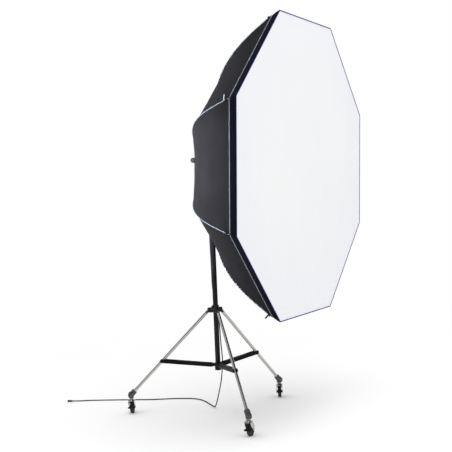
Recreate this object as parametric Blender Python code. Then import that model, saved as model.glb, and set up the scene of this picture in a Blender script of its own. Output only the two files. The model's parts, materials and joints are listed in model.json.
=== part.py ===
"""Octagonal studio softbox on a flash head, carried by a folding light stand on casters.

Units are metres, +Z is up and the softbox faces -Y.  The origin is the centre of the footprint
of the whole object, without its mains cord, on the floor.
"""

from math import atan2, cos, pi, radians, sin, sqrt

import bmesh
import bpy
from mathutils import Matrix, Vector

# ---------------------------------------------------------------- driving dimensions
COLUMN_Y = 0.048645

# softbox
BOX_SIDES = 8
BOX_CORNER = 0.950
SEAM_CORNER = 0.925
LIP_DEPTH = 0.050
BACK_CORNER = 0.120
BACK_DEPTH = 0.600
SKIN = 0.002
ROD_RADIUS = 0.003
ROD_INSET = 0.008
BAFFLE_DEPTH = 0.280
BAFFLE_CORNER = 0.700

# head
FRONT_AHEAD = 0.6669
AXIS_ABOVE_PIVOT = 0.090
PIVOT_Z = 1.4787
HEAD_TILT = radians(2.476)
CASING_RADIUS = 0.062
CASING_WALL = 0.0025
CASING_FRONT = -0.0572
CASING_BACK = 0.079
PANEL_INSET = 0.0015
BUTTON_PLACE = (0.022, 0.018)
SWITCH_PLACE = (-0.026, -0.012)
DIAL_PLACE = (-0.012, 0.024)
RELIEF_BACK = 0.055

# tilt bracket
TILT_EAR_RADIUS = 0.016
TILT_LUG_HALF = 0.0112
CLAMP_Z = 1.395

# stand
COLUMN_RADIUS = 0.016
COLUMN_BORE = 0.0148
COLUMN_BOTTOM = 0.3058
COLUMN_TOP = 1.215
RISER_RADIUS = 0.0140
RISER_BORE = 0.0125
RISER_BOTTOM = 0.500
RISER_TOP = 1.3520
SPIGOT_RADIUS = 0.0080
LEG_AZIMUTHS = (radians(-133.94), radians(-13.94), radians(106.06))
LEG_NAMES = ("front", "right", "rear")
LEG_RADIUS = 0.010
LEG_BORE = 0.0085
LEG_ANGLE = radians(45.0)
HUB_PIVOT_R = 0.0446
HUB_PIVOT_Z = 0.6735
HUB_KNOB_Z = 0.6965
HUB_KNOB_AZIMUTH = radians(166.0)
BRACE_PIVOT_R = 0.040
BRACE_PIVOT_Z = 0.3238
LINK_R = 0.3714
LINK_Z = 0.3471
CASTER_R = 0.5928

# casters
WHEEL_RADIUS = 0.040
WHEEL_HALF_WIDTH = 0.012
TRAIL = 0.028
CASTER_AZIMUTHS = (radians(8.5), radians(26.5), radians(28.0))
PEDAL_HINGE = (-0.0110, 0.0, 0.0760)
PEDAL_LEAN = radians(70.0)

# mains cord
CORD_RADIUS = 0.0035
PLUG_RADIUS = 0.0065

BOLT_RADIUS = 0.0040
BOLT_BORE = 0.0043
SCREW_RADIUS = 0.0030
SCREW_BORE = 0.0033
DRILL = 0.030
GAP = 0.0003
ABOUT_X = (0.0, pi / 2, 0.0)
ABOUT_Y = (pi / 2, 0.0, 0.0)
BACKWARDS = (-pi / 2, 0.0, 0.0)
DOWNWARDS = (pi, 0.0, 0.0)
ROUND = 20
MEDIUM = 14
SMALL = 10


# ---------------------------------------------------------------- materials
def material(name, colour, roughness, metallic=0.0, alpha=1.0):
    made = bpy.data.materials.new(name)
    made.use_nodes = True
    shader = made.node_tree.nodes["Principled BSDF"]
    shader.inputs["Base Color"].default_value = (*colour, 1.0)
    shader.inputs["Roughness"].default_value = roughness
    shader.inputs["Metallic"].default_value = metallic
    shader.inputs["Alpha"].default_value = alpha
    return made


# ---------------------------------------------------------------- mesh helpers
def add_empty(name, location, rotation=(0.0, 0.0, 0.0), parent=None):
    empty = bpy.data.objects.new(name, None)
    bpy.context.scene.collection.objects.link(empty)
    empty.location = location
    empty.rotation_euler = rotation
    empty.parent = parent
    return empty


def add_object(name, shape, finish, parent=None, location=(0.0, 0.0, 0.0), rotation=(0.0, 0.0, 0.0)):
    """Turns a bmesh into a named object with outward faces, smooth except at its edges."""
    bmesh.ops.recalc_face_normals(shape, faces=shape.faces[:])
    mesh = bpy.data.meshes.new(name)
    shape.to_mesh(mesh)
    shape.free()
    mesh.shade_smooth()
    mesh.set_sharp_from_angle(angle=radians(32.0))
    if finish:
        mesh.materials.append(finish)
    made = bpy.data.objects.new(name, mesh)
    bpy.context.scene.collection.objects.link(made)
    made.parent = parent
    made.location = location
    made.rotation_euler = rotation
    return made


def combine(target, operation, name, shape, parent, location=(0.0, 0.0, 0.0), rotation=(0.0, 0.0, 0.0)):
    """Cuts with or joins on a second shape, placed like any object and then left hidden."""
    tool = add_object(name, shape, None, parent, location, rotation)
    tool.hide_render = True
    tool.display_type = "WIRE"
    step = target.modifiers.new(tool.name, "BOOLEAN")
    step.operation = operation
    step.solver = "EXACT"
    step.object = tool


def cut(target, name, shape, parent, location=(0.0, 0.0, 0.0), rotation=(0.0, 0.0, 0.0)):
    combine(target, "DIFFERENCE", name, shape, parent, location, rotation)


def join(target, name, shape, parent, location=(0.0, 0.0, 0.0), rotation=(0.0, 0.0, 0.0)):
    combine(target, "UNION", name, shape, parent, location, rotation)


def loft(rings, closed_loop=False):
    """Skins a list of equal rings of points; open lofts get end caps."""
    shape = bmesh.new()
    made = [[shape.verts.new(point) for point in ring] for ring in rings]
    count = len(made[0])
    pairs = list(zip(made, made[1:]))
    if closed_loop:
        pairs.append((made[-1], made[0]))
    for lower, upper in pairs:
        for i in range(count):
            j = (i + 1) % count
            shape.faces.new((lower[i], lower[j], upper[j], upper[i]))
    if not closed_loop:
        shape.faces.new(list(reversed(made[0])))
        shape.faces.new(made[-1])
    return shape


def turned(profile, sides=ROUND, start=0.0):
    """Revolves (radius, height) points about Z; a profile that starts and ends off the axis is a ring."""
    solid = profile[0][0] == 0.0
    shape = bmesh.new()
    loops = []
    for radius, height in profile:
        if radius == 0.0:
            loops.append([shape.verts.new((0.0, 0.0, height))])
            continue
        loop = []
        for i in range(sides):
            angle = start + 2.0 * pi * i / sides
            loop.append(shape.verts.new((radius * cos(angle), radius * sin(angle), height)))
        loops.append(loop)
    pairs = list(zip(loops, loops[1:]))
    if not solid:
        pairs.append((loops[-1], loops[0]))
    for lower, upper in pairs:
        for i in range(sides):
            j = (i + 1) % sides
            corners = []
            corners += [lower[0]] if len(lower) == 1 else [lower[i], lower[j]]
            corners += [upper[0]] if len(upper) == 1 else [upper[j], upper[i]]
            shape.faces.new(corners)
    return shape


def rod_shape(radius, low, high, sides=SMALL, start=0.13):
    """A plain round bar along Z, turned a little so that its edges never meet a neighbour's."""
    return turned([(0, low), (radius, low), (radius, high), (0, high)], sides, start)


def prism(outline, low, high, axis="Z"):
    """Extrudes a flat outline from low to high along an axis."""
    place = {
        "X": lambda u, v, height: (height, u, v),
        "Y": lambda u, v, height: (u, height, v),
        "Z": lambda u, v, height: (u, v, height),
    }[axis]
    return loft([[place(u, v, height) for u, v in outline] for height in (low, high)])


def block(low, high):
    (x0, y0, z0), (x1, y1, z1) = low, high
    return prism([(x0, y0), (x1, y0), (x1, y1), (x0, y1)], z0, z1)


def hinge_place(azimuth, radius, height):
    """A spot on one of the stand's hinge pins, and the turn that lays a bar along the pin."""
    place = (radius * cos(azimuth), radius * sin(azimuth), height)
    turn = Matrix.Rotation(azimuth, 4, "Z") @ Matrix.Rotation(pi / 2, 4, "X")
    return place, turn.to_euler()


def arc(centre, radius, start, end, steps):
    """Points of a round stretch of an outline, angles in degrees."""
    points = []
    for i in range(steps + 1):
        angle = radians(start + (end - start) * i / steps)
        points.append((centre[0] + radius * cos(angle), centre[1] + radius * sin(angle)))
    return points


def sweep(points, radius, sides):
    """A round bar along a smooth line of points."""
    line = [Vector(point) for point in points]
    side = None
    rings = []
    for i, point in enumerate(line):
        along = (line[min(i + 1, len(line) - 1)] - line[max(i - 1, 0)]).normalized()
        if side is None:
            side = along.orthogonal().normalized()
        side = (side - along * side.dot(along)).normalized()
        other = along.cross(side)
        ring = []
        for k in range(sides):
            angle = 2.0 * pi * k / sides
            ring.append(point + radius * (cos(angle) * side + sin(angle) * other))
        rings.append(ring)
    return loft(rings)


def smooth_line(route, spacing):
    """Evenly spaced points on a smooth curve through the route's points."""
    spots = [Vector(point) for point in route]
    ends = [2 * spots[0] - spots[1]] + spots + [2 * spots[-1] - spots[-2]]
    fine = []
    for before, first, second, after in zip(ends, ends[1:], ends[2:], ends[3:]):
        for i in range(24):
            t = i / 24
            fine.append(
                0.5
                * (
                    2 * first
                    + (second - before) * t
                    + (2 * before - 5 * first + 4 * second - after) * t * t
                    + (3 * first - before - 3 * second + after) * t * t * t
                )
            )
    fine.append(spots[-1])
    steps = [(b - a).length for a, b in zip(fine, fine[1:])]
    total = sum(steps)
    count = max(2, round(total / spacing))
    result = [fine[0]]
    walked = 0.0
    wanted = total / count
    for start, end, step in zip(fine, fine[1:], steps):
        while walked + step >= wanted - 1e-9 and len(result) < count:
            result.append(start.lerp(end, (wanted - walked) / step))
            wanted += total / count
        walked += step
    result.append(fine[-1])
    return result


# ---------------------------------------------------------------- softbox
def rib_point(t):
    """Corner radius and depth behind the front edge, along a rib from the speed ring to the seam."""
    start = (BACK_CORNER, BACK_DEPTH)
    leave = (BACK_CORNER + 0.458, BACK_DEPTH - 0.046)
    arrive = (SEAM_CORNER - 0.206, LIP_DEPTH + 0.365)
    end = (SEAM_CORNER, LIP_DEPTH)
    weights = ((1 - t) ** 3, 3 * t * (1 - t) ** 2, 3 * t * t * (1 - t), t**3)
    radius = sum(w * p[0] for w, p in zip(weights, (start, leave, arrive, end)))
    depth = sum(w * p[1] for w, p in zip(weights, (start, leave, arrive, end)))
    return radius, depth


def rib_inset(t, distance):
    """A rib point moved inwards, square to the rib."""
    step = 0.001
    radius, depth = rib_point(t)
    ahead = rib_point(t + step)
    behind = rib_point(t - step)
    run = (ahead[0] - behind[0], ahead[1] - behind[1])
    length = sqrt(run[0] ** 2 + run[1] ** 2)
    return radius + distance * run[1] / length, depth - distance * run[0] / length


def octagon(corner, depth):
    """Corner points of the softbox's outline at one depth; a flat side is at the top."""
    points = []
    for k in range(BOX_SIDES):
        angle = (k + 0.5) * 2.0 * pi / BOX_SIDES
        points.append((corner * cos(angle), depth, corner * sin(angle)))
    return points


def build_softbox(parent, cloth, white, metal, dark):
    stations = [i / 10 for i in range(11)]
    outer = [octagon(*rib_point(t)) for t in stations]
    inner = [octagon(*rib_inset(t, SKIN / cos(pi / BOX_SIDES))) for t in reversed(stations)]
    add_object("shell_cover", loft(outer + inner, closed_loop=True), cloth, parent)

    wall = 0.0027
    lip_back = LIP_DEPTH - 0.0016
    lip = (
        octagon(SEAM_CORNER + 0.0008, lip_back),
        octagon(BOX_CORNER, 0.0),
        octagon(BOX_CORNER - wall, 0.0),
        octagon(SEAM_CORNER + 0.0008 - wall, lip_back),
    )
    add_object("front_lip", loft(lip, closed_loop=True), cloth, parent)
    front = loft((octagon(BOX_CORNER - 0.005, 0.001), octagon(BOX_CORNER - 0.005, 0.003)))
    add_object("front_diffuser", front, white, parent)

    baffle = loft(
        (octagon(BAFFLE_CORNER, BAFFLE_DEPTH - 0.001), octagon(BAFFLE_CORNER, BAFFLE_DEPTH + 0.001))
    )
    add_object("inner_baffle", baffle, white, parent)

    ring_depth = BACK_DEPTH - ROD_INSET
    profile = (
        (0.068, -0.009),
        (0.091, -0.009),
        (0.094, -0.006),
        (0.094, 0.009),
        (0.091, 0.011),
        (0.068, 0.011),
    )
    ring = add_object(
        "speed_ring", turned(profile, 24), metal, parent, (0, ring_depth, 0), BACKWARDS
    )
    for k in range(BOX_SIDES):
        turn = (k + 0.5) * 2.0 * pi / BOX_SIDES
        socket = block((0.0915, -0.007, -0.0065), (0.116, 0.007, 0.0065))
        bmesh.ops.transform(socket, matrix=Matrix.Rotation(turn, 4, "Z"), verts=socket.verts)
        join(ring, f"socket_{k + 1}", socket, ring)

    for k in range(BOX_SIDES):
        angle = (k + 0.5) * 2.0 * pi / BOX_SIDES
        line = []
        for i in range(10):
            radius, depth = rib_inset(i / 9, ROD_INSET)
            line.append((radius * cos(angle), depth, radius * sin(angle)))
        line[0] = (0.1165 * cos(angle), ring_depth, 0.1165 * sin(angle))
        add_object(f"rod_{k + 1}", sweep(line, ROD_RADIUS, 6), dark, parent)


# ---------------------------------------------------------------- flash head
def build_head(parent, plastic, metal, glass, dark):
    """The head's own frame has its origin on the tilt pivot; the lamp axis runs along Y above it."""
    axis = AXIS_ABOVE_PIVOT
    outer = CASING_RADIUS
    inner = CASING_RADIUS - CASING_WALL
    casing_profile = (
        (inner, CASING_FRONT),
        (outer - 0.004, CASING_FRONT),
        (outer, CASING_FRONT + 0.006),
        (outer, CASING_BACK - 0.008),
        (outer - 0.0025, CASING_BACK - 0.002),
        (inner, CASING_BACK),
    )
    casing = add_object(
        "head_casing", turned(casing_profile, 28), plastic, parent, (0, 0, axis), BACKWARDS
    )
    ear = TILT_EAR_RADIUS
    lug_top = 0.0298
    lug_outline = arc((0.0, 0.0), ear, 180, 360, 10) + [(ear, lug_top), (-ear, lug_top)]
    join(casing, "tilt_lug", prism(lug_outline, -TILT_LUG_HALF, TILT_LUG_HALF, "X"), parent)
    cut(casing, "lug_bore", rod_shape(BOLT_BORE, -DRILL, DRILL), parent, (0, 0, 0), ABOUT_X)

    flange_profile = (
        (0.0480, CASING_FRONT - 0.0205),
        (0.0660, CASING_FRONT - 0.0205),
        (0.0660, CASING_FRONT - 0.0058),
        (0.0780, CASING_FRONT - 0.0058),
        (0.0780, CASING_FRONT - GAP),
        (0.0480, CASING_FRONT - GAP),
    )
    add_object("bayonet_flange", turned(flange_profile, 24), metal, parent, (0, 0, axis), BACKWARDS)

    bank = rod_shape(0.024, 0.0, 0.062, 12)
    add_object("capacitor_bank", bank, metal, parent, (0.018, -0.030, axis - 0.008), BACKWARDS)

    build_lamp(parent, metal, glass, axis)
    build_handle(parent, dark, axis)


def build_lamp(parent, metal, glass, axis):
    """The flash tube on its plate, under a glass dome."""
    plate_y = CASING_FRONT - 0.010
    plate_profile = ((0, -0.004), (0.0470, -0.004), (0.0470, 0.0), (0, 0.0))
    add_object("lamp_plate", turned(plate_profile), metal, parent, (0, plate_y, axis), BACKWARDS)

    coil_radius = 0.022
    bulge = 0.004
    coil = []
    for i in range(16):
        angle = 2.0 * pi * i / 16
        section = []
        for k in range(6):
            turn = 2.0 * pi * k / 6
            reach = coil_radius + bulge * cos(turn)
            section.append((reach * cos(angle), reach * sin(angle), bulge * sin(turn)))
        coil.append(section)
    coil_place = (0, plate_y - 0.020, axis)
    flash = add_object("flash_tube", loft(coil, closed_loop=True), glass, parent, coil_place, BACKWARDS)
    for side in (-1, 1):
        foot = rod_shape(0.0022, 0.001, 0.0157, 8)
        join(flash, f"tube_foot_{side}", foot, flash, (coil_radius * side, 0, 0))

    dome = 0.0380
    wall = 0.0015
    shoulder = -0.018
    dome_profile = []
    for degrees_up in (0, 30, 60, 90):
        angle = radians(degrees_up)
        dome_profile.append((dome * sin(angle), shoulder - 0.0200 * cos(angle)))
    dome_profile += [(dome, -GAP), (dome - wall, -GAP)]
    for degrees_up in (90, 60, 30, 0):
        angle = radians(degrees_up)
        dome_profile.append(((dome - wall) * sin(angle), shoulder - 0.0185 * cos(angle)))
    dome_place = (0, plate_y - 0.004, axis)
    add_object("glass_dome", turned(dome_profile, 18), glass, parent, dome_place, BACKWARDS)


def build_controls(parent, plastic, dark, bright):
    """The rear panel with its button, rocker switch and dial, and the cord gland under the casing."""
    axis = AXIS_ABOVE_PIVOT
    face = CASING_BACK - PANEL_INSET
    rim = CASING_RADIUS - CASING_WALL - GAP
    panel_profile = ((0, face - 0.004), (rim, face - 0.004), (rim, face), (0, face))
    panel = add_object(
        "head_rear_panel", turned(panel_profile, 28), plastic, parent, (0, 0, axis), BACKWARDS
    )
    button_place = (BUTTON_PLACE[0], face, axis + BUTTON_PLACE[1])
    switch_place = (SWITCH_PLACE[0], face, axis + SWITCH_PLACE[1])
    dial_place = (DIAL_PLACE[0], face, axis + DIAL_PLACE[1])
    cut(panel, "button_hole", rod_shape(0.0048, -0.02, 0.02), parent, button_place, BACKWARDS)
    switch_hole = block((-0.0067, -0.02, -0.0097), (0.0067, 0.02, 0.0097))
    cut(panel, "switch_hole", switch_hole, parent, switch_place)

    button_profile = ((0, -0.006), (0.0044, -0.006), (0.0044, 0.0035), (0.0036, 0.0045), (0, 0.0045))
    add_object("test_button", turned(button_profile, SMALL), bright, parent, button_place, BACKWARDS)
    rocker_outline = (
        (-0.0045, -0.0090),
        (0.0005, -0.0090),
        (0.0040, -0.0086),
        (0.0020, 0.0),
        (0.0010, 0.0090),
        (-0.0045, 0.0090),
    )
    rocker = prism(rocker_outline, -0.006, 0.006, "X")
    add_object("power_switch", rocker, dark, parent, switch_place)
    dial_profile = (
        (0, GAP),
        (0.0145, GAP),
        (0.0145, 0.0025),
        (0.0125, 0.0035),
        (0.0115, 0.0080),
        (0.0105, 0.0090),
        (0, 0.0090),
    )
    add_object("power_dial", turned(dial_profile, ROUND), dark, parent, dial_place, BACKWARDS)

    relief_profile = (
        (0, GAP),
        (0.0085, GAP),
        (0.0085, 0.004),
        (0.0062, 0.006),
        (0.0046, 0.030),
        (0, 0.030),
    )
    relief_place = (0.0, RELIEF_BACK, axis - CASING_RADIUS)
    add_object("strain_relief", turned(relief_profile, SMALL), dark, parent, relief_place, DOWNWARDS)


def build_handle(parent, dark, axis):
    grip_radius = 0.0165
    half = 0.050
    neck = 0.010
    grip_profile = [(0, -half), (neck, -half), (0.0150, 0.004 - half), (grip_radius, 0.010 - half)]
    grip_profile += [(grip_radius, half - 0.010), (0.0150, half - 0.004), (neck, half), (0, half)]
    grip_y = 0.1035
    grip_z = axis + 0.0556
    grip = add_object(
        "rear_handle", turned(grip_profile, 16), dark, parent, (0, grip_y, grip_z), ABOUT_X
    )
    for side in (-1, 1):
        arm = block((-0.005, -0.066, -0.0075), (0.005, -0.008, 0.0075))
        join(grip, f"handle_arm_{side}", arm, parent, (0.040 * side, grip_y, grip_z + 0.0036))


# ---------------------------------------------------------------- tilt bracket
def build_bracket(parent, metal, dark):
    low_end = 1.3650
    shoulder = 1.4360
    radius = 0.0210
    profile = ((0, low_end), (0.0195, low_end), (radius, low_end + 0.002), (radius, shoulder), (0, shoulder))
    yoke = add_object("tilt_bracket", turned(profile), metal, parent)
    reach = TILT_EAR_RADIUS
    ear_root = shoulder - 0.006
    outline = arc((0.0, PIVOT_Z), reach, 0, 180, 10) + [(-reach, ear_root), (reach, ear_root)]
    for side in (-1, 1):
        low, high = sorted((0.0115 * side, 0.0190 * side))
        join(yoke, f"ear_{side}", prism(outline, low, high, "X"), parent)
    socket = rod_shape(SPIGOT_RADIUS + GAP, 1.30, 1.4270, ROUND, 0.0)
    cut(yoke, "spigot_socket", socket, parent)
    cut(yoke, "ear_bore", rod_shape(BOLT_BORE, -DRILL, DRILL), parent, (0, 0, PIVOT_Z), ABOUT_X)
    cut(yoke, "clamp_bore", rod_shape(SCREW_BORE, 0.0, DRILL), parent, (0, 0, CLAMP_Z), ABOUT_X)

    bolt_profile = (
        (0, -0.0235),
        (0.0070, -0.0235),
        (0.0070, -0.0193),
        (BOLT_RADIUS, -0.0193),
        (BOLT_RADIUS, 0.0193),
        (0.0110, 0.0193),
        (0.0110, 0.0290),
        (0, 0.0290),
    )
    lever = add_object(
        "tilt_lever", turned(bolt_profile, SMALL), dark, parent, (0, 0, PIVOT_Z), ABOUT_X
    )
    arm_outline = ((-0.006, 0.0), (0.006, 0.0), (0.0075, -0.058), (0.0, -0.066), (-0.0075, -0.058))
    arm = prism(arm_outline, 0.0215, 0.0280, "X")
    join(lever, "lever_arm", arm, parent, (0, 0, PIVOT_Z))

    knob = knob_shape(0.0088, SCREW_RADIUS, 0.0218, 0.0125)
    add_object("spigot_clamp_knob", knob, dark, parent, (0, 0, CLAMP_Z), ABOUT_X)


def knob_shape(tip, stem, seat, radius):
    """A screw knob along +Z: a plain stem from tip to seat, then a grip with flats."""
    profile = (
        (0, tip),
        (stem, tip),
        (stem, seat),
        (radius * 0.6, seat),
        (radius, seat + 0.003),
        (radius, seat + 0.012),
        (radius * 0.8, seat + 0.015),
        (0, seat + 0.015),
    )
    return turned(profile, SMALL)


# ---------------------------------------------------------------- column
def pipe(bore, radius, low, high, sides=ROUND):
    return turned(((bore, low), (radius, low), (radius, high), (bore, high)), sides)


def build_column(parent, black, chrome, dark):
    column = pipe(COLUMN_BORE, COLUMN_RADIUS, COLUMN_BOTTOM, COLUMN_TOP)
    add_object("base_column", column, black, parent)
    riser = pipe(RISER_BORE, RISER_RADIUS, RISER_BOTTOM, RISER_TOP)
    add_object("riser_tube", riser, black, parent)
    plug = RISER_BORE - GAP
    spigot = (
        (0, RISER_TOP - 0.035),
        (plug, RISER_TOP - 0.035),
        (plug, RISER_TOP + GAP),
        (RISER_RADIUS, RISER_TOP + GAP),
        (RISER_RADIUS, RISER_TOP + 0.008),
        (SPIGOT_RADIUS, RISER_TOP + 0.009),
        (SPIGOT_RADIUS, RISER_TOP + 0.072),
        (SPIGOT_RADIUS - 0.0015, RISER_TOP + 0.0742),
        (0, RISER_TOP + 0.0742),
    )
    add_object("spigot", turned(spigot), chrome, parent)

    collar_profile = (
        (RISER_RADIUS + GAP, COLUMN_TOP + GAP),
        (RISER_RADIUS + GAP, COLUMN_TOP + 0.0225),
        (0.0200, COLUMN_TOP + 0.0225),
        (0.0225, COLUMN_TOP + 0.0190),
        (0.0225, COLUMN_TOP - 0.0180),
        (0.0205, COLUMN_TOP - 0.0200),
        (COLUMN_RADIUS + GAP, COLUMN_TOP - 0.0200),
        (COLUMN_RADIUS + GAP, COLUMN_TOP + GAP),
    )
    collar = add_object("riser_lock_collar", turned(collar_profile), dark, parent)
    boss = block((-0.034, -0.009, 0.0), (-0.0195, 0.009, 0.020))
    join(collar, "lock_boss", boss, parent, (0, 0, COLUMN_TOP - 0.001))
    leftwards = (0, -pi / 2, 0)
    lock_place = (0, 0, COLUMN_TOP + 0.010)
    cut(collar, "lock_bore", rod_shape(SCREW_BORE, 0.0, 0.05), parent, lock_place, leftwards)
    knob = knob_shape(0.0150, SCREW_RADIUS, 0.0343, 0.0140)
    add_object("riser_lock_knob", knob, dark, parent, lock_place, leftwards)


def build_lower_collar(parent, dark):
    """The fixed collar under the column, with a lug for each brace."""
    bottom = COLUMN_BOTTOM - 0.0158
    top = BRACE_PIVOT_Z + 0.0142
    profile = (
        (0, bottom),
        (0.0190, bottom),
        (0.0205, bottom + 0.002),
        (0.0205, top),
        (COLUMN_RADIUS + GAP, top),
        (COLUMN_RADIUS + GAP, COLUMN_BOTTOM - GAP),
        (0, COLUMN_BOTTOM - GAP),
    )
    lower = add_object("lower_collar", turned(profile), dark, parent)
    lug_end = 0.0095
    lug_root = 0.0180
    for name, azimuth in zip(LEG_NAMES, LEG_AZIMUTHS):
        round_end = arc((BRACE_PIVOT_R, 0.0), lug_end, -90, 90, 8)
        lug = prism(round_end + [(lug_root, lug_end), (lug_root, -lug_end)], -0.0100, 0.0100, "Y")
        join(lower, f"{name}_lower_lug", lug, parent, (0, 0, BRACE_PIVOT_Z), (0, 0, azimuth))
    for name, azimuth in zip(LEG_NAMES, LEG_AZIMUTHS):
        place, turn = hinge_place(azimuth, BRACE_PIVOT_R, BRACE_PIVOT_Z)
        cut(lower, f"{name}_lower_bore", rod_shape(BOLT_BORE, -DRILL, DRILL), parent, place, turn)


def build_hub(parent, dark):
    """The sliding collar that carries the tops of the legs."""
    bottom = HUB_PIVOT_Z - 0.0155
    top = HUB_PIVOT_Z + 0.0315
    profile = (
        (COLUMN_RADIUS + GAP, bottom),
        (0.0200, bottom),
        (0.0212, bottom + 0.0015),
        (0.0212, top - 0.0015),
        (0.0200, top),
        (COLUMN_RADIUS + GAP, top),
    )
    hub = add_object("hub_collar", turned(profile), dark, parent)
    ear_root = 0.0180
    ear_end = 0.0525
    ear_half = 0.0155
    chamfer = 0.003
    outline = (
        (ear_root, -ear_half),
        (ear_end - chamfer, -ear_half),
        (ear_end, chamfer - ear_half),
        (ear_end, ear_half - chamfer),
        (ear_end - chamfer, ear_half),
        (ear_root, ear_half),
    )
    for name, azimuth in zip(LEG_NAMES, LEG_AZIMUTHS):
        for side in (-1, 1):
            low, high = sorted((0.0048 * side, 0.0105 * side))
            ear = prism(outline, low, high, "Y")
            join(hub, f"{name}_hub_ear_{side}", ear, parent, (0, 0, HUB_PIVOT_Z), (0, 0, azimuth))
        place, turn = hinge_place(azimuth, HUB_PIVOT_R, HUB_PIVOT_Z)
        join(hub, f"{name}_hub_pin", rod_shape(BOLT_RADIUS, -0.0080, 0.0080), parent, place, turn)
    knob_turn = (Matrix.Rotation(HUB_KNOB_AZIMUTH, 4, "Z") @ Matrix.Rotation(pi / 2, 4, "Y")).to_euler()
    cut(hub, "hub_bore", rod_shape(0.0028, 0.0100, 0.05), parent, (0, 0, HUB_KNOB_Z), knob_turn)
    knob = knob_shape(0.0165, 0.0025, 0.0216, 0.0070)
    add_object("hub_lock_knob", knob, dark, parent, (0, 0, HUB_KNOB_Z), knob_turn)


# ---------------------------------------------------------------- legs and braces
def build_leg(name, azimuth, parent, chrome, grey):
    """A leg's own frame has its origin on the hub pivot, with -Z down the leg."""
    place = (HUB_PIVOT_R * cos(azimuth), HUB_PIVOT_R * sin(azimuth), HUB_PIVOT_Z)
    pivot = add_empty(f"{name}_leg_pivot", place, (0, -LEG_ANGLE, azimuth), parent)
    reach = (CASTER_R - HUB_PIVOT_R) / sin(LEG_ANGLE)
    leg = add_object(
        f"{name}_leg", pipe(LEG_BORE, LEG_RADIUS, 0.0185 - reach, -0.0240, 16), chrome, pivot
    )
    eye = 0.0080
    eye_outline = arc((0.0, 0.0), eye, 0, 180, 7) + [(-eye, -0.0285), (eye, -0.0285)]
    join(leg, f"{name}_eye", prism(eye_outline, -0.0045, 0.0045, "Y"), pivot)
    join(leg, f"{name}_eye_plug", rod_shape(0.0092, -0.0320, -0.0234, 16, 0.0), pivot)
    cut(leg, f"{name}_eye_bore", rod_shape(BOLT_BORE, -DRILL, DRILL), pivot, (0, 0, 0), ABOUT_Y)

    foot_place = (0, 0, -reach)
    upright = (0, LEG_ANGLE, 0)
    boss_profile = (
        (0, -0.0215),
        (0.0145, -0.0215),
        (0.0165, -0.0190),
        (0.0165, 0.0150),
        (0.0130, 0.0190),
        (0, 0.0190),
    )
    foot = add_object(f"{name}_foot", turned(boss_profile, 16), grey, pivot, foot_place, upright)
    socket_profile = ((0, -0.0080), (0.0178, -0.0080), (0.0178, 0.0345), (0.0158, 0.0370), (0, 0.0370))
    join(foot, f"{name}_foot_socket", turned(socket_profile, 15, 0.21), pivot, foot_place)
    leg_bore = rod_shape(LEG_RADIUS + GAP, 0.0180, 0.08, 16, 0.0)
    cut(foot, f"{name}_foot_bore", leg_bore, pivot, foot_place)
    cut(foot, f"{name}_stem_bore", rod_shape(0.0060, -0.05, 0.0125), pivot, foot_place, upright)


def build_brace(name, azimuth, parent, dark):
    """A channel with both ends forked: one end on the lower collar, the other astride the leg."""
    place = (BRACE_PIVOT_R * cos(azimuth), BRACE_PIVOT_R * sin(azimuth), BRACE_PIVOT_Z)
    rise = atan2(LINK_Z - BRACE_PIVOT_Z, LINK_R - BRACE_PIVOT_R)
    length = sqrt((LINK_Z - BRACE_PIVOT_Z) ** 2 + (LINK_R - BRACE_PIVOT_R) ** 2)
    pivot = add_empty(f"{name}_brace_pivot", place, (0, -rise, azimuth), parent)
    half = 0.0125
    inside = 0.0106
    outside = 0.0131
    web = 0.0025
    inner_fork = 0.026
    outer_fork = 0.095
    past = 0.050
    outline = arc((0.0, 0.0), half, 90, 270, 6) + arc((length, 0.0), half, -90, 90, 6)
    brace = add_object(f"{name}_brace", prism(outline, -outside, outside, "Y"), dark, pivot)
    hollow = block((-past, -inside, -past), (length + past, inside, half - web))
    cut(brace, f"{name}_brace_hollow", hollow, pivot)
    inner_slot = block((-past, -inside, -past), (inner_fork, inside, past))
    cut(brace, f"{name}_inner_slot", inner_slot, pivot)
    outer_slot = block((length - outer_fork, -inside, -past), (length + past, inside, past))
    cut(brace, f"{name}_outer_slot", outer_slot, pivot)
    bolt_head = 0.0065
    bolt_end = 0.0155
    bolt_profile = (
        (0, -bolt_end),
        (bolt_head, -bolt_end),
        (bolt_head, -0.0125),
        (BOLT_RADIUS, -0.0125),
        (BOLT_RADIUS, 0.0125),
        (bolt_head, 0.0125),
        (bolt_head, bolt_end),
        (0, bolt_end),
    )
    bolt = turned(bolt_profile, SMALL, 0.13)
    join(brace, f"{name}_inner_bolt", bolt, pivot, (0, 0, 0), ABOUT_Y)
    for side in (-1, 1):
        low, high = sorted((0.0120 * side, bolt_end * side))
        stub = rod_shape(bolt_head, low, high)
        join(brace, f"{name}_link_bolt_{side}", stub, pivot, (length, 0, 0), ABOUT_Y)


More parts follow.
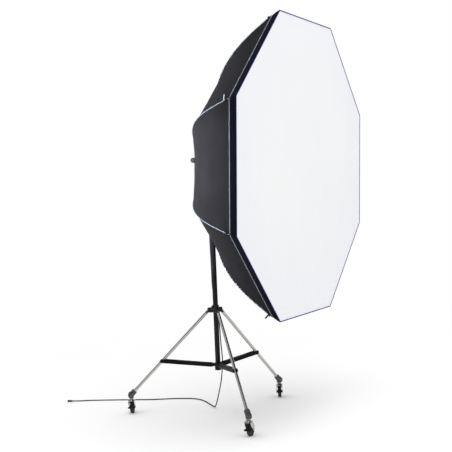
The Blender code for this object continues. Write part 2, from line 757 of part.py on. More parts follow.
# ---------------------------------------------------------------- casters
def build_caster(name, azimuth, trail_azimuth, parent, chrome, rubber, dark):
    """A caster's frame has its origin on the floor under the swivel stem, with +X towards the wheel."""
    place = (CASTER_R * cos(azimuth), CASTER_R * sin(azimuth), 0.0)
    swivel = add_empty(f"{name}_swivel", place, (0, 0, trail_azimuth), parent)
    dome_profile = (
        (0, 0.1360),
        (0.0055, 0.1360),
        (0.0055, 0.1010),
        (0.0100, 0.0990),
        (0.0165, 0.0965),
        (0.0210, 0.0915),
        (0.0228, 0.0850),
        (0.0205, 0.0850),
        (0.0190, 0.0890),
        (0, 0.0890),
    )
    fork = add_object(f"{name}_fork", turned(dome_profile, 16), chrome, swivel)
    plate = [(-0.0180, 0.0900), (0.0200, 0.0900), (0.0270, 0.0700)]
    plate += arc((TRAIL, WHEEL_RADIUS), 0.0095, 20, -160, 6)
    plate += [(-0.0060, 0.0600)]
    for side in (-1, 1):
        low, high = sorted((0.0180 * side, 0.0205 * side))
        join(fork, f"{name}_fork_side_{side}", prism(plate, low, high, "Y"), swivel)
    nut = 0.0060
    axle_profile = (
        (0, -0.0225),
        (nut, -0.0225),
        (nut, -0.0200),
        (BOLT_RADIUS, -0.0200),
        (BOLT_RADIUS, 0.0200),
        (nut, 0.0200),
        (nut, 0.0225),
        (0, 0.0225),
    )
    axle_place = (TRAIL, 0, WHEEL_RADIUS)
    join(fork, f"{name}_axle", turned(axle_profile, SMALL), swivel, axle_place, ABOUT_Y)
    build_wheel(name, swivel, axle_place, rubber)
    build_pedal(name, swivel, dark)


def build_wheel(name, swivel, axle_place, rubber):
    """The wheel's flats touch the floor, so its corners stand a little further out."""
    sides = 20
    corner = WHEEL_RADIUS / cos(pi / sides)
    half = WHEEL_HALF_WIDTH
    hub = 0.0155
    disc = 0.0085
    profile = (
        (BOLT_BORE, -hub),
        (0.0090, -hub),
        (0.0100, -disc),
        (0.0290, -disc),
        (0.0300, -half),
        (corner - 0.0030, -half),
        (corner, 0.0020 - half),
        (corner, half - 0.0020),
        (corner - 0.0030, half),
        (0.0300, half),
        (0.0290, disc),
        (0.0100, disc),
        (0.0090, hub),
        (BOLT_BORE, hub),
    )
    shape = turned(profile, sides, pi / 2 + pi / sides)
    add_object(f"{name}_wheel", shape, rubber, swivel, axle_place, ABOUT_Y)


def build_pedal(name, swivel, dark):
    """The brake pedal hangs behind the wheel on a barrel, and widens into two toe tabs."""
    half_outline = ((0.0085, 0.0), (0.0090, -0.0200), (0.0235, -0.0330), (0.0235, -0.0370), (0.0150, -0.0400))
    outline = list(half_outline) + [(-x, y) for x, y in reversed(half_outline)]
    sheet = prism(outline, -0.0015, 0.0015)
    lean = Matrix.Rotation(PEDAL_LEAN, 4, "X")
    face_round = Matrix.Rotation(-pi / 2, 4, "Z")
    bmesh.ops.transform(sheet, matrix=face_round @ lean, verts=sheet.verts)
    hinge = add_empty(f"{name}_pedal_hinge", PEDAL_HINGE, (0, 0, 0), swivel)
    barrel = rod_shape(0.0040, -0.0175, 0.0175)
    pedal = add_object(f"{name}_brake_pedal", barrel, dark, hinge, (0, 0, 0), ABOUT_Y)
    join(pedal, f"{name}_pedal_plate", sheet, hinge)


# ---------------------------------------------------------------- mains cord
def cord_tube(name, route, spacing, finish, parent):
    curve = bpy.data.curves.new(name, "CURVE")
    curve.dimensions = "3D"
    curve.bevel_depth = CORD_RADIUS
    curve.bevel_resolution = 2
    curve.use_fill_caps = True
    line = smooth_line(route, spacing)
    spline = curve.splines.new("POLY")
    spline.points.add(len(line) - 1)
    for point, spot in zip(spline.points, line):
        point.co = (*spot, 1.0)
    curve.materials.append(finish)
    made = bpy.data.objects.new(name, curve)
    bpy.context.scene.collection.objects.link(made)
    made.parent = parent
    return made


HEAD_CORD = (
    (0.0000, 0.0551, 1.4784),
    (0.0005, 0.0536, 1.4665),
    (0.0021, 0.0491, 1.4555),
    (0.0045, 0.0420, 1.4462),
    (0.0069, 0.0350, 1.4369),
    (0.0085, 0.0305, 1.4259),
    (0.0090, 0.0290, 1.4140),
)
CLIP_CORD = (
    (0.0090, 0.0290, 1.3942),
    (0.0092, 0.0288, 1.3865),
    (0.0128, 0.0243, 1.3600),
    (0.0130, 0.0240, 1.3526),
)
HANGING_CORD = (
    (0.0130, 0.0240, 1.3375),
    (0.0130, 0.0240, 1.3200),
    (0.0230, 0.0310, 1.2400),
    (0.0360, 0.0425, 1.1600),
    (0.0428, 0.0459, 1.0800),
    (0.0448, 0.0453, 0.9900),
    (0.0455, 0.0450, 0.9000),
    (0.0460, 0.0440, 0.8200),
    (0.0530, 0.0350, 0.7300),
    (0.0660, 0.0200, 0.6400),
    (0.0740, 0.0190, 0.5400),
    (0.0810, 0.0190, 0.4400),
    (0.0900, 0.0180, 0.3500),
    (0.0980, 0.0280, 0.2700),
    (0.1080, 0.0460, 0.1900),
    (0.1240, 0.0750, 0.1100),
    (0.1420, 0.1050, 0.0420),
    (0.1620, 0.1300, 0.0100),
    (0.1860, 0.1580, 0.0036),
    (0.2300, 0.2100, 0.0036),
    (0.3050, 0.3000, 0.0036),
    (0.3400, 0.3950, 0.0036),
    (0.3040, 0.5240, 0.0036),
    (0.2190, 0.6800, 0.0036),
    (0.1700, 0.8070, 0.0036),
    (0.1010, 0.9810, 0.0036),
    (0.0550, 1.0850, 0.0036),
    (0.0190, 1.1380, 0.0045),
    (-0.0100, 1.1800, 0.0068),
)


def build_cord(parent, dark):
    cord_tube("cord_head_run", HEAD_CORD, 0.010, dark, parent)
    cord_tube("cord_clip_run", CLIP_CORD, 0.009, dark, parent)
    cord_tube("cord_floor_run", HANGING_CORD, 0.038, dark, parent)

    end = Vector(HANGING_CORD[-1])
    along = (end - Vector(HANGING_CORD[-2])).normalized()
    turn = along.to_track_quat("Z", "Y").to_euler()
    plug_profile = (
        (0, GAP),
        (0.0042, GAP),
        (0.0046, 0.010),
        (PLUG_RADIUS, 0.013),
        (PLUG_RADIUS, 0.038),
        (0.0055, 0.040),
        (0, 0.040),
    )
    add_object("cord_plug", turned(plug_profile, MEDIUM), dark, parent, tuple(end), turn)


def build_clips(parent, dark):
    """Snap clips that hold the cord: one on the bracket, one round the top of the riser."""
    x, y = HEAD_CORD[-1][:2]
    clip = block((x - 0.0065, 0.0213, 1.3945), (x + 0.0065, y + 0.0060, 1.4135))
    add_object("bracket_cord_clip", clip, dark, parent)

    low = RISER_TOP - 0.0140
    tie = add_object("riser_cord_tie", pipe(RISER_RADIUS + GAP, 0.0166, low, RISER_TOP), dark, parent)
    x, y = HANGING_CORD[0][:2]
    reach = sqrt(x * x + y * y)
    grip = block((0.0155, -0.0060, low), (reach + 0.0055, 0.0060, RISER_TOP))
    join(tie, "tie_grip", grip, parent, (0, 0, 0), (0, 0, atan2(y, x)))


def main():
    for old in list(bpy.data.objects):
        bpy.data.objects.remove(old, do_unlink=True)

    cloth = material("black_cloth", (0.020, 0.020, 0.024), 0.85)
    white = material("white_diffusion_cloth", (0.86, 0.86, 0.87), 0.8)
    dark = material("black_plastic", (0.015, 0.015, 0.016), 0.45)
    black = material("black_anodised_tube", (0.012, 0.012, 0.014), 0.3, 0.4)
    chrome = material("chrome", (0.62, 0.63, 0.63), 0.12, 1.0)
    grey = material("grey_casting", (0.10, 0.11, 0.10), 0.45, 0.3)
    metal = material("satin_aluminium", (0.45, 0.45, 0.46), 0.35, 1.0)
    plastic = material("head_plastic", (0.05, 0.05, 0.055), 0.5)
    glass = material("clear_glass", (0.95, 0.95, 0.95), 0.05, 0.0, 0.4)
    bright = material("button_green", (0.05, 0.35, 0.12), 0.4)
    rubber = material("tyre_rubber", (0.018, 0.014, 0.012), 0.6)

    stand = add_empty("stand", (0, COLUMN_Y, 0))
    head = add_empty("head", (0, 0, PIVOT_Z), (HEAD_TILT, 0, 0), stand)
    softbox = add_empty("softbox", (0, -FRONT_AHEAD, AXIS_ABOVE_PIVOT), (0, 0, 0), head)

    build_softbox(softbox, cloth, white, metal, dark)
    build_head(head, plastic, metal, glass, dark)
    build_controls(head, plastic, dark, bright)
    build_bracket(stand, metal, dark)
    build_column(stand, black, chrome, dark)
    build_lower_collar(stand, dark)
    build_hub(stand, dark)
    for name, azimuth, trail in zip(LEG_NAMES, LEG_AZIMUTHS, CASTER_AZIMUTHS):
        build_leg(name, azimuth, stand, chrome, grey)
        build_brace(name, azimuth, stand, dark)
        build_caster(name, azimuth, trail, stand, chrome, rubber, dark)
    build_cord(stand, dark)
    build_clips(stand, dark)


main()
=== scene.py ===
"""The visible studio softbox: fabric, tubes, castings, wheels and cord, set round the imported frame.

Units are metres and +Z is up.  Places come from the frame's joints; a softbox-local point has its
origin at the middle of the front edge, with +Y running backwards along the lamp's axis.
"""

import json
from math import atan2, cos, exp, pi, radians, sin, sqrt

import bmesh
import bpy
from mathutils import Matrix, Vector, noise


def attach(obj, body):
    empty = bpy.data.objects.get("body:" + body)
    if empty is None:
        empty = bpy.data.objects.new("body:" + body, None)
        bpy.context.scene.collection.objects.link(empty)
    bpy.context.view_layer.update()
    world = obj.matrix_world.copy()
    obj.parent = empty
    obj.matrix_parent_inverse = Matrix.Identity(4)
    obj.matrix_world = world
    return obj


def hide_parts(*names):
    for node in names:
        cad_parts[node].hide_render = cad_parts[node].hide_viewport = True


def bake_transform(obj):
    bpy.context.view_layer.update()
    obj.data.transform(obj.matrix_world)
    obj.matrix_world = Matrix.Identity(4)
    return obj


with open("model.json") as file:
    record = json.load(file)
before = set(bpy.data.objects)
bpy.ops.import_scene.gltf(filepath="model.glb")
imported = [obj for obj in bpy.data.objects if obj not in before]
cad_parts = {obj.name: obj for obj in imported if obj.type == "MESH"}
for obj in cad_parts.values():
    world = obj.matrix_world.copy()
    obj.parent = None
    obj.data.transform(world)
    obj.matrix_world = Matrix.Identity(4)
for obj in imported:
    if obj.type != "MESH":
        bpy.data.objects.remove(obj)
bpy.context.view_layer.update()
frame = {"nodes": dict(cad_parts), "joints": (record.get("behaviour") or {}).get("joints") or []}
NODES = frame["nodes"]
JOINTS = {joint["name"]: joint for joint in frame["joints"]}

# ---------------------------------------------------------------- places, read from the frame
PIVOT = Vector(JOINTS["head_tilt"]["pos_m"])
COLUMN = Vector((PIVOT.x, PIVOT.y, 0.0))
LAMP_AXIS = Vector(JOINTS["softbox_turn"]["axis"])
TILT = atan2(LAMP_AXIS.z, LAMP_AXIS.y)
LEG_NAMES = ("front", "right", "rear")
STAND_FRAME = Matrix.Translation(COLUMN)
HEAD_FRAME = Matrix.Translation(PIVOT) @ Matrix.Rotation(TILT, 4, "X")

# ---------------------------------------------------------------- driving dimensions
FRONT_AHEAD = 0.6669
AXIS_ABOVE_PIVOT = 0.09
BOX_SIDES = 8
BOX_CORNER = 0.95
SEAM_CORNER = 0.925
LIP_DEPTH = 0.05
BACK_CORNER = 0.12
BACK_DEPTH = 0.6
BAFFLE_DEPTH = 0.28
BAFFLE_CORNER = 0.7
BAFFLE_TAB = 0.063
CLOTH = 0.0012
PANEL_SAG = 0.008
PIPING_RADIUS = 0.0026
CORD_RADIUS = 0.0035
GAP = 0.0003
COLUMN_RADIUS = 0.016
COLUMN_BOTTOM = 0.3058
COLUMN_TOP = 1.215
RISER_RADIUS = 0.014
RISER_TOP = 1.352
SPIGOT_RADIUS = 0.008
HUB_PIVOT_R = 0.0446
HUB_PIVOT_Z = 0.6735
BRACE_PIVOT_R = 0.04
BRACE_PIVOT_Z = 0.3238
LINK_R = 0.3714
LINK_Z = 0.3471
LEG_RADIUS = 0.01
LEG_ANGLE = radians(45.0)
LEG_REACH = 0.7753
BOLT_RADIUS = 0.004
CASING_RADIUS = 0.062
CASING_FRONT = -0.0572
CASING_BACK = 0.079
PANEL_FACE = 0.0775
CLAMP_Z = 1.395
WHEEL_RADIUS = 0.04
TRAIL = 0.028
BOLT_BORE = 0.0043
THREAD_BORE = 0.0033
CAMERA_LENS = 72.55
CAMERA_PLACE = (-4.9886, -2.8642, 1.3775)
CAMERA_RIGHT = Vector((0.48948, -0.87098, -0.04237))
CAMERA_FORWARD = Vector((0.87075, 0.49081, -0.03003))
WORLD_LIGHT = 0.98
GLOSS_LIGHT = 0.66
FLAG_LIGHT = 0.03
FLAGS = ((radians(-98.0), radians(52.0)), (radians(164.0), radians(20.0)))
FLAG_EDGE = radians(5.0)
FLOOR_RADIUS = 60.0
FLASH_RING = 0.022
BACKWARDS = Matrix.Rotation(-pi / 2, 4, "X")
LAMP_FRAME = HEAD_FRAME @ Matrix.Translation((0.0, 0.0, AXIS_ABOVE_PIVOT)) @ BACKWARDS
SOFTBOX_FRAME = HEAD_FRAME @ Matrix.Translation((0.0, -FRONT_AHEAD, AXIS_ABOVE_PIVOT))
ON_BOX = ("softbox", "black_cloth", SOFTBOX_FRAME)
ABOUT_X = Matrix.Rotation(pi / 2, 4, "Y")
ABOUT_Y = Matrix.Rotation(pi / 2, 4, "X")


def show(name, data):
    """Puts an object that holds the data into the scene."""
    made = bpy.data.objects.new(name, data)
    bpy.context.scene.collection.objects.link(made)
    return made


# ---------------------------------------------------------------- camera
def add_camera():
    """Stands a little above the softbox's middle, ahead of it and to its left."""
    data = bpy.data.cameras.new("camera")
    data.sensor_width = 36.0
    data.lens = CAMERA_LENS
    camera = show("camera", data)
    forward = CAMERA_FORWARD.normalized()
    up = CAMERA_RIGHT.normalized().cross(forward).normalized()
    right = forward.cross(up)
    turn = Matrix((right, up, -forward)).transposed().to_4x4()
    camera.matrix_world = Matrix.Translation(CAMERA_PLACE) @ turn
    bpy.context.scene.camera = camera


# ---------------------------------------------------------------- cord routes, from the column's foot
HEAD_CORD = (
    (0.0, 0.0551, 1.4784),
    (0.0005, 0.0536, 1.4665),
    (0.0021, 0.0491, 1.4555),
    (0.0045, 0.042, 1.4462),
    (0.0069, 0.035, 1.4369),
    (0.0085, 0.0305, 1.4259),
    (0.009, 0.029, 1.414),
)
CLIP_CORD = (
    (0.009, 0.029, 1.3942),
    (0.0092, 0.0288, 1.3865),
    (0.0128, 0.0243, 1.36),
    (0.013, 0.024, 1.3526),
)
HANGING_CORD = (
    (0.013, 0.024, 1.3375),
    (0.013, 0.024, 1.32),
    (0.023, 0.031, 1.24),
    (0.036, 0.0425, 1.16),
    (0.0428, 0.0459, 1.08),
    (0.0448, 0.0453, 0.99),
    (0.0455, 0.045, 0.9),
    (0.046, 0.044, 0.82),
    (0.053, 0.035, 0.73),
    (0.066, 0.02, 0.64),
    (0.074, 0.019, 0.54),
    (0.081, 0.019, 0.44),
    (0.09, 0.018, 0.35),
    (0.098, 0.028, 0.27),
    (0.108, 0.046, 0.19),
    (0.124, 0.075, 0.11),
    (0.142, 0.105, 0.042),
    (0.162, 0.13, 0.01),
    (0.186, 0.158, 0.0036),
    (0.23, 0.21, 0.0036),
    (0.305, 0.3, 0.0036),
    (0.34, 0.395, 0.0036),
    (0.304, 0.524, 0.0036),
    (0.219, 0.68, 0.0036),
    (0.17, 0.807, 0.0036),
    (0.101, 0.981, 0.0036),
    (0.055, 1.085, 0.0036),
    (0.019, 1.138, 0.0045),
    (-0.01, 1.18, 0.0068),
)


def smooth_line(route, spacing):
    """Evenly spaced points on a smooth curve through the route's points."""
    spots = [Vector(point) for point in route]
    ends = [2 * spots[0] - spots[1]] + spots + [2 * spots[-1] - spots[-2]]
    fine = []
    for before, first, second, after in zip(ends, ends[1:], ends[2:], ends[3:]):
        for i in range(24):
            t = i / 24
            bend = (2 * before - 5 * first + 4 * second - after) * t * t
            twist = (3 * first - before - 3 * second + after) * t * t * t
            fine.append(0.5 * (2 * first + (second - before) * t + bend + twist))
    fine.append(spots[-1])
    steps = [(b - a).length for a, b in zip(fine, fine[1:])]
    total = sum(steps)
    count = max(2, round(total / spacing))
    result = [fine[0]]
    walked = 0.0
    wanted = total / count
    for start, end, step in zip(fine, fine[1:], steps):
        while walked + step >= wanted - 1e-9 and len(result) < count:
            result.append(start.lerp(end, (wanted - walked) / step))
            wanted += total / count
        walked += step
    result.append(fine[-1])
    return result


# ---------------------------------------------------------------- material nodes
class Nodes:
    """A small helper round one node tree."""

    def __init__(self, tree):
        self.tree = tree

    def plug(self, socket, value):
        if isinstance(value, bpy.types.NodeSocket):
            self.tree.links.new(value, socket)
        else:
            socket.default_value = value

    def node(self, kind, operation=None, **inputs):
        made = self.tree.nodes.new(kind)
        if operation:
            made.operation = operation
        for name, value in inputs.items():
            numbered = name[0] == "i" and name[1:].isdigit()
            self.plug(made.inputs[int(name[1:]) if numbered else name], value)
        return made

    def math(self, operation, first, second=0.0):
        return self.node("ShaderNodeMath", operation, i0=first, i1=second).outputs[0]

    def coords(self, kind="Object"):
        return self.node("ShaderNodeTexCoord").outputs[kind]

    def split(self, vector):
        return self.node("ShaderNodeSeparateXYZ", i0=vector).outputs

    def noise(self, scale, detail=3.0, stretch=None):
        vector = self.coords()
        if stretch:
            vector = self.node("ShaderNodeMapping", Vector=vector, Scale=stretch).outputs[0]
        made = self.node("ShaderNodeTexNoise", Vector=vector, Scale=scale, Detail=detail, Roughness=0.5)
        return made.outputs[0]

    def cloud(self, scale, detail, low, high):
        """Noise with more contrast: 0 below low and 1 above high."""
        return self.between(self.noise(scale, detail), low, high)

    def times(self, first, second):
        return self.math("MULTIPLY", first, second)

    def plus(self, first, second):
        return self.math("ADD", first, second)

    def wave(self, value, length):
        return self.math("SINE", self.times(value, 2 * pi / length))

    def between(self, value, low, high, out_low=0.0, out_high=1.0):
        return self.node("ShaderNodeMapRange", i0=value, i1=low, i2=high, i3=out_low, i4=out_high).outputs[0]

    def reach(self, across, along):
        """The distance from the middle of two flat coordinates."""
        return self.math("SQRT", self.plus(self.times(across, across), self.times(along, along)))

    def mix(self, amount, first, second):
        made = self.tree.nodes.new("ShaderNodeMix")
        made.data_type = "RGBA"
        for place, value in ((0, amount), (6, first), (7, second)):
            self.plug(made.inputs[place], value)
        return made.outputs[2]


class Shader(Nodes):
    """One material."""

    SOCKETS = {"metal": "Metallic", "rough": "Roughness", "sheen": "Sheen Weight",
               "sheen_rough": "Sheen Roughness", "coat": "Coat Weight", "coat_rough": "Coat Roughness",
               "ior": "IOR", "specular": "Specular IOR Level", "through": "Transmission Weight"}

    def __init__(self, name):
        self.made = bpy.data.materials.new(name)
        self.made.use_nodes = True
        super().__init__(self.made.node_tree)
        self.out = self.tree.nodes["Principled BSDF"]

    def link(self, name, value):
        self.tree.links.new(value, self.out.inputs[name])

    def set(self, **values):
        for name, value in values.items():
            self.out.inputs[self.SOCKETS[name]].default_value = value

    def finish(self, colour, rough, height, deep, **values):
        """Colour, roughness and a bump from nodes, the rest from plain values."""
        self.link("Base Color", colour)
        self.link("Roughness", rough)
        self.set(**values)
        bump = self.node("ShaderNodeBump", Height=height, Distance=deep, Strength=1.0)
        self.link("Normal", bump.outputs[0])
        return self.made


def rgb(red, green, blue):
    return (red, green, blue, 1.0)


def worn_edges(shader, amount):
    """1 on sharp edges, broken up by noise, and 0 elsewhere."""
    geometry = shader.tree.nodes.new("ShaderNodeNewGeometry")
    edge = shader.between(geometry.outputs["Pointiness"], 0.53, 0.6)
    patches = shader.between(shader.noise(90.0), 0.45, 0.62)
    return shader.times(shader.times(edge, patches), amount)


def woven(name, colour, second, thread, rib=None, rough=0.85, sheen=0.01, deep=0.00025, specular=0.05):
    """Plain-woven cloth; its threads follow the UV map, which is in metres."""
    s = Shader(name)
    across, along, _ = s.split(s.coords("UV"))
    wave_u = s.wave(across, thread)
    wave_v = s.wave(along, thread)
    weave = s.times(wave_u, wave_v)
    height = s.between(weave, -1.0, 1.0)
    if rib:
        for axis in (across, along):
            line = s.math("ABSOLUTE", s.math("SINE", s.times(axis, pi / rib)))
            height = s.plus(height, s.between(line, 0.0, 0.12, 0.8, 0.0))
    cloudy = s.cloud(7.0, 4.0, 0.3, 0.7)
    grainy = s.cloud(900.0, 2.0, 0.3, 0.7)
    tone = s.plus(s.times(cloudy, 0.45), s.times(grainy, 0.25))
    tone = s.plus(tone, s.times(s.between(weave, -1.0, 1.0), 0.3))
    colour = s.mix(tone, colour, second)
    rough = s.between(cloudy, 0.0, 1.0, rough - 0.07, rough + 0.07)
    return s.finish(colour, rough, height, deep, sheen=sheen, sheen_rough=0.45, specular=specular, ior=1.08)


def diffusion_cloth(name):
    """White nylon with fine threads; long, very faint streaks of painted wrinkle shade, and painted shade
    that makes it darker and bluer towards its rim.
    """
    s = Shader(name)
    across, along, _ = s.split(s.coords("UV"))
    wave_u = s.wave(across, 0.0011)
    wave_v = s.wave(along, 0.0011)
    weave = s.between(s.times(wave_u, wave_v), -1.0, 1.0)
    # painted shade: long faint streaks darken the cloth where tension wrinkles would shade it; the roughness
    # follows the same streaks
    streak_shade = s.noise(3.0, 4.0, stretch=(5.0, 1.0, 0.9))
    patch = s.cloud(1.3, 3.0, 0.35, 0.65)
    tone = s.plus(s.times(streak_shade, 0.5), s.times(patch, 0.3))
    tone = s.plus(tone, s.times(weave, 0.2))
    flat = s.mix(tone, rgb(0.806, 0.813, 0.831), rgb(0.872, 0.872, 0.874))
    # painted shade: the cloth is darkened and blued towards its rim
    painted_rim_shade = s.between(s.reach(across, along), 0.5, 0.95, 0.0, 0.6)
    colour = s.mix(painted_rim_shade, flat, rgb(0.79, 0.8, 0.855))
    rough = s.between(streak_shade, 0.3, 0.7, 0.62, 0.78)
    return s.finish(colour, rough, weave, 0.00012, sheen=0.15, sheen_rough=0.5, specular=0.3)


def silver_lining(name):
    s = Shader(name)
    pebble = s.node("ShaderNodeTexVoronoi", Vector=s.coords("Object"), Scale=260.0).outputs["Distance"]
    shade = s.cloud(12.0, 4.0, 0.3, 0.7)
    colour = s.mix(shade, rgb(0.62, 0.63, 0.64), rgb(0.78, 0.78, 0.77))
    rough = s.between(shade, 0.0, 1.0, 0.26, 0.38)
    return s.finish(colour, rough, pebble, 0.0006, metal=0.9)


def hook_tape(name):
    """Hook-and-loop tape: a short, dull pile whose ridges are coloured lighter as a painted sheen."""
    s = Shader(name)
    pile = s.noise(1500.0, 2.0)
    ridge_sheen = s.between(s.noise(60.0, 3.0, stretch=(1.0, 6.0, 1.0)), 0.35, 0.65)
    # painted sheen: the ridges are coloured lighter to stand for their shine
    colour = s.mix(ridge_sheen, rgb(0.0015, 0.0015, 0.003), rgb(0.004, 0.004, 0.007))
    rough = s.between(pile, 0.3, 0.7, 0.72, 0.92)
    return s.finish(colour, rough, pile, 0.0006, sheen=0.02, sheen_rough=0.4, specular=0.08, ior=1.12)


def piping_cord(name):
    """Light twisted edging: a diagonal lay with painted shade between its strands, over patches of dirt."""
    s = Shader(name)
    around, along, _ = s.split(s.coords("UV"))
    lay = s.plus(s.times(along, 2 * pi / 0.006), s.times(around, 2 * pi))
    strand = s.between(s.math("SINE", lay), -1.0, 1.0)
    dirt = s.cloud(14.0, 4.0, 0.35, 0.7)
    colour = s.mix(dirt, rgb(0.19, 0.23, 0.3), rgb(0.115, 0.14, 0.18))
    # painted shade: the grooves between the strands are darkened
    colour = s.mix(strand, rgb(0.11, 0.13, 0.17), colour)
    rough = s.between(strand, 0.0, 1.0, 0.65, 0.45)
    return s.finish(colour, rough, strand, 0.0005, sheen=0.1, sheen_rough=0.4)


def chrome(name, tone=(0.53, 0.53, 0.5)):
    s = Shader(name)
    scratch = s.noise(700.0, 2.0, stretch=(1.0, 1.0, 0.04))
    smear = s.cloud(9.0, 4.0, 0.35, 0.7)
    dark = tuple(0.86 * part for part in tone)
    colour = s.mix(smear, rgb(*tone), rgb(*dark))
    rough = s.plus(s.between(smear, 0.0, 1.0, 0.09, 0.17), s.between(scratch, 0.6, 0.75, 0.0, 0.12))
    return s.finish(colour, rough, scratch, 0.00004, metal=1.0)


def turned_aluminium(name):
    """Machined and satin: fine rings round the lamp's axis."""
    s = Shader(name)
    x, _, z = s.split(s.coords("Object"))
    up = s.math("SUBTRACT", z, (HEAD_FRAME @ Vector((0.0, 0.0, AXIS_ABOVE_PIVOT))).z)
    rings = s.wave(s.reach(x, up), 0.0007)
    spots = s.cloud(45.0, 4.0, 0.35, 0.7)
    colour = s.mix(spots, rgb(0.52, 0.52, 0.53), rgb(0.38, 0.38, 0.39))
    rough = s.between(spots, 0.0, 1.0, 0.28, 0.42)
    return s.finish(colour, rough, rings, 0.00006, metal=1.0)


def satin_tube(name, colour, lighter, rough=0.3):
    """Black powder-coated tube with fine grain, rubbed paler along its length."""
    s = Shader(name)
    grain = s.noise(1100.0, 2.0)
    rubbed = s.between(s.noise(55.0, 4.0, stretch=(1.0, 1.0, 0.03)), 0.56, 0.72)
    shade = s.cloud(6.0, 3.0, 0.35, 0.65)
    base = s.mix(shade, colour, lighter)
    colour = s.mix(s.times(rubbed, 0.5), base, rgb(0.045, 0.045, 0.048))
    rough = s.between(rubbed, 0.0, 1.0, rough, rough + 0.14)
    return s.finish(colour, rough, grain, 0.00005, specular=0.1, ior=1.3)


def painted_steel(name):
    s = Shader(name)
    peel = s.noise(420.0, 2.0)
    shade = s.cloud(16.0, 4.0, 0.35, 0.65)
    base = s.mix(shade, rgb(0.004, 0.004, 0.005), rgb(0.009, 0.009, 0.011))
    colour = s.mix(worn_edges(s, 0.4), base, rgb(0.12, 0.12, 0.12))
    rough = s.between(shade, 0.0, 1.0, 0.34, 0.5)
    return s.finish(colour, rough, peel, 0.00008, specular=0.1, ior=1.3)


def grey_casting(name):
    """Die-cast metal: pitted, a little greenish, polished where hands and floors rub it."""
    s = Shader(name)
    pits = s.noise(520.0, 4.0)
    shade = s.cloud(38.0, 4.0, 0.35, 0.65)
    base = s.mix(shade, rgb(0.05, 0.058, 0.053), rgb(0.095, 0.105, 0.098))
    colour = s.mix(worn_edges(s, 0.7), base, rgb(0.26, 0.27, 0.26))
    rough = s.between(shade, 0.0, 1.0, 0.33, 0.5)
    return s.finish(colour, rough, pits, 0.00025, metal=0.55)


def moulded(name, colour, lighter, rough=0.45, grain=700.0, deep=0.0001):
    """Moulded plastic with a spark-eroded grain and paler corners."""
    s = Shader(name)
    fine = s.noise(grain, 3.0)
    shade = s.cloud(24.0, 4.0, 0.35, 0.65)
    base = s.mix(shade, colour, lighter)
    pale = tuple(min(1.0, 2.6 * part + 0.01) for part in lighter[:3])
    colour = s.mix(worn_edges(s, 0.45), base, rgb(*pale))
    rough = s.between(shade, 0.0, 1.0, rough - 0.05, rough + 0.1)
    return s.finish(colour, rough, fine, deep, specular=0.2)


def tyre_rubber(name):
    s = Shader(name)
    grain = s.noise(800.0, 3.0)
    dust = s.cloud(42.0, 5.0, 0.48, 0.72)
    base = s.mix(s.noise(20.0, 2.0), rgb(0.016, 0.012, 0.01), rgb(0.03, 0.022, 0.017))
    colour = s.mix(s.times(dust, 0.35), base, rgb(0.1, 0.085, 0.07))
    rough = s.between(dust, 0.0, 1.0, 0.55, 0.82)
    return s.finish(colour, rough, grain, 0.00015, specular=0.35)


def cord_rubber(name):
    s = Shader(name)
    skin = s.noise(900.0, 2.0)
    dust = s.cloud(30.0, 4.0, 0.5, 0.72)
    base = s.mix(s.noise(11.0, 2.0), rgb(0.004, 0.004, 0.005), rgb(0.009, 0.009, 0.01))
    colour = s.mix(s.times(dust, 0.3), base, rgb(0.045, 0.043, 0.04))
    rough = s.between(dust, 0.0, 1.0, 0.42, 0.62)
    return s.finish(colour, rough, skin, 0.00006, specular=0.15, ior=1.35)


def frosted_glass(name):
    s = Shader(name)
    ripple = s.noise(160.0, 2.0)
    colour = s.mix(ripple, rgb(0.93, 0.95, 0.95), rgb(0.98, 0.98, 0.97))
    rough = s.between(ripple, 0.3, 0.7, 0.12, 0.25)
    return s.finish(colour, rough, ripple, 0.00015, through=0.85, ior=1.47)


def lens_plastic(name, colour):
    s = Shader(name)
    haze = s.noise(55.0, 3.0)
    darker = tuple(0.6 * part for part in colour[:3])
    colour = s.mix(haze, colour, rgb(*darker))
    rough = s.between(haze, 0.3, 0.7, 0.1, 0.22)
    return s.finish(colour, rough, haze, 0.00005, coat=0.3, coat_rough=0.1)


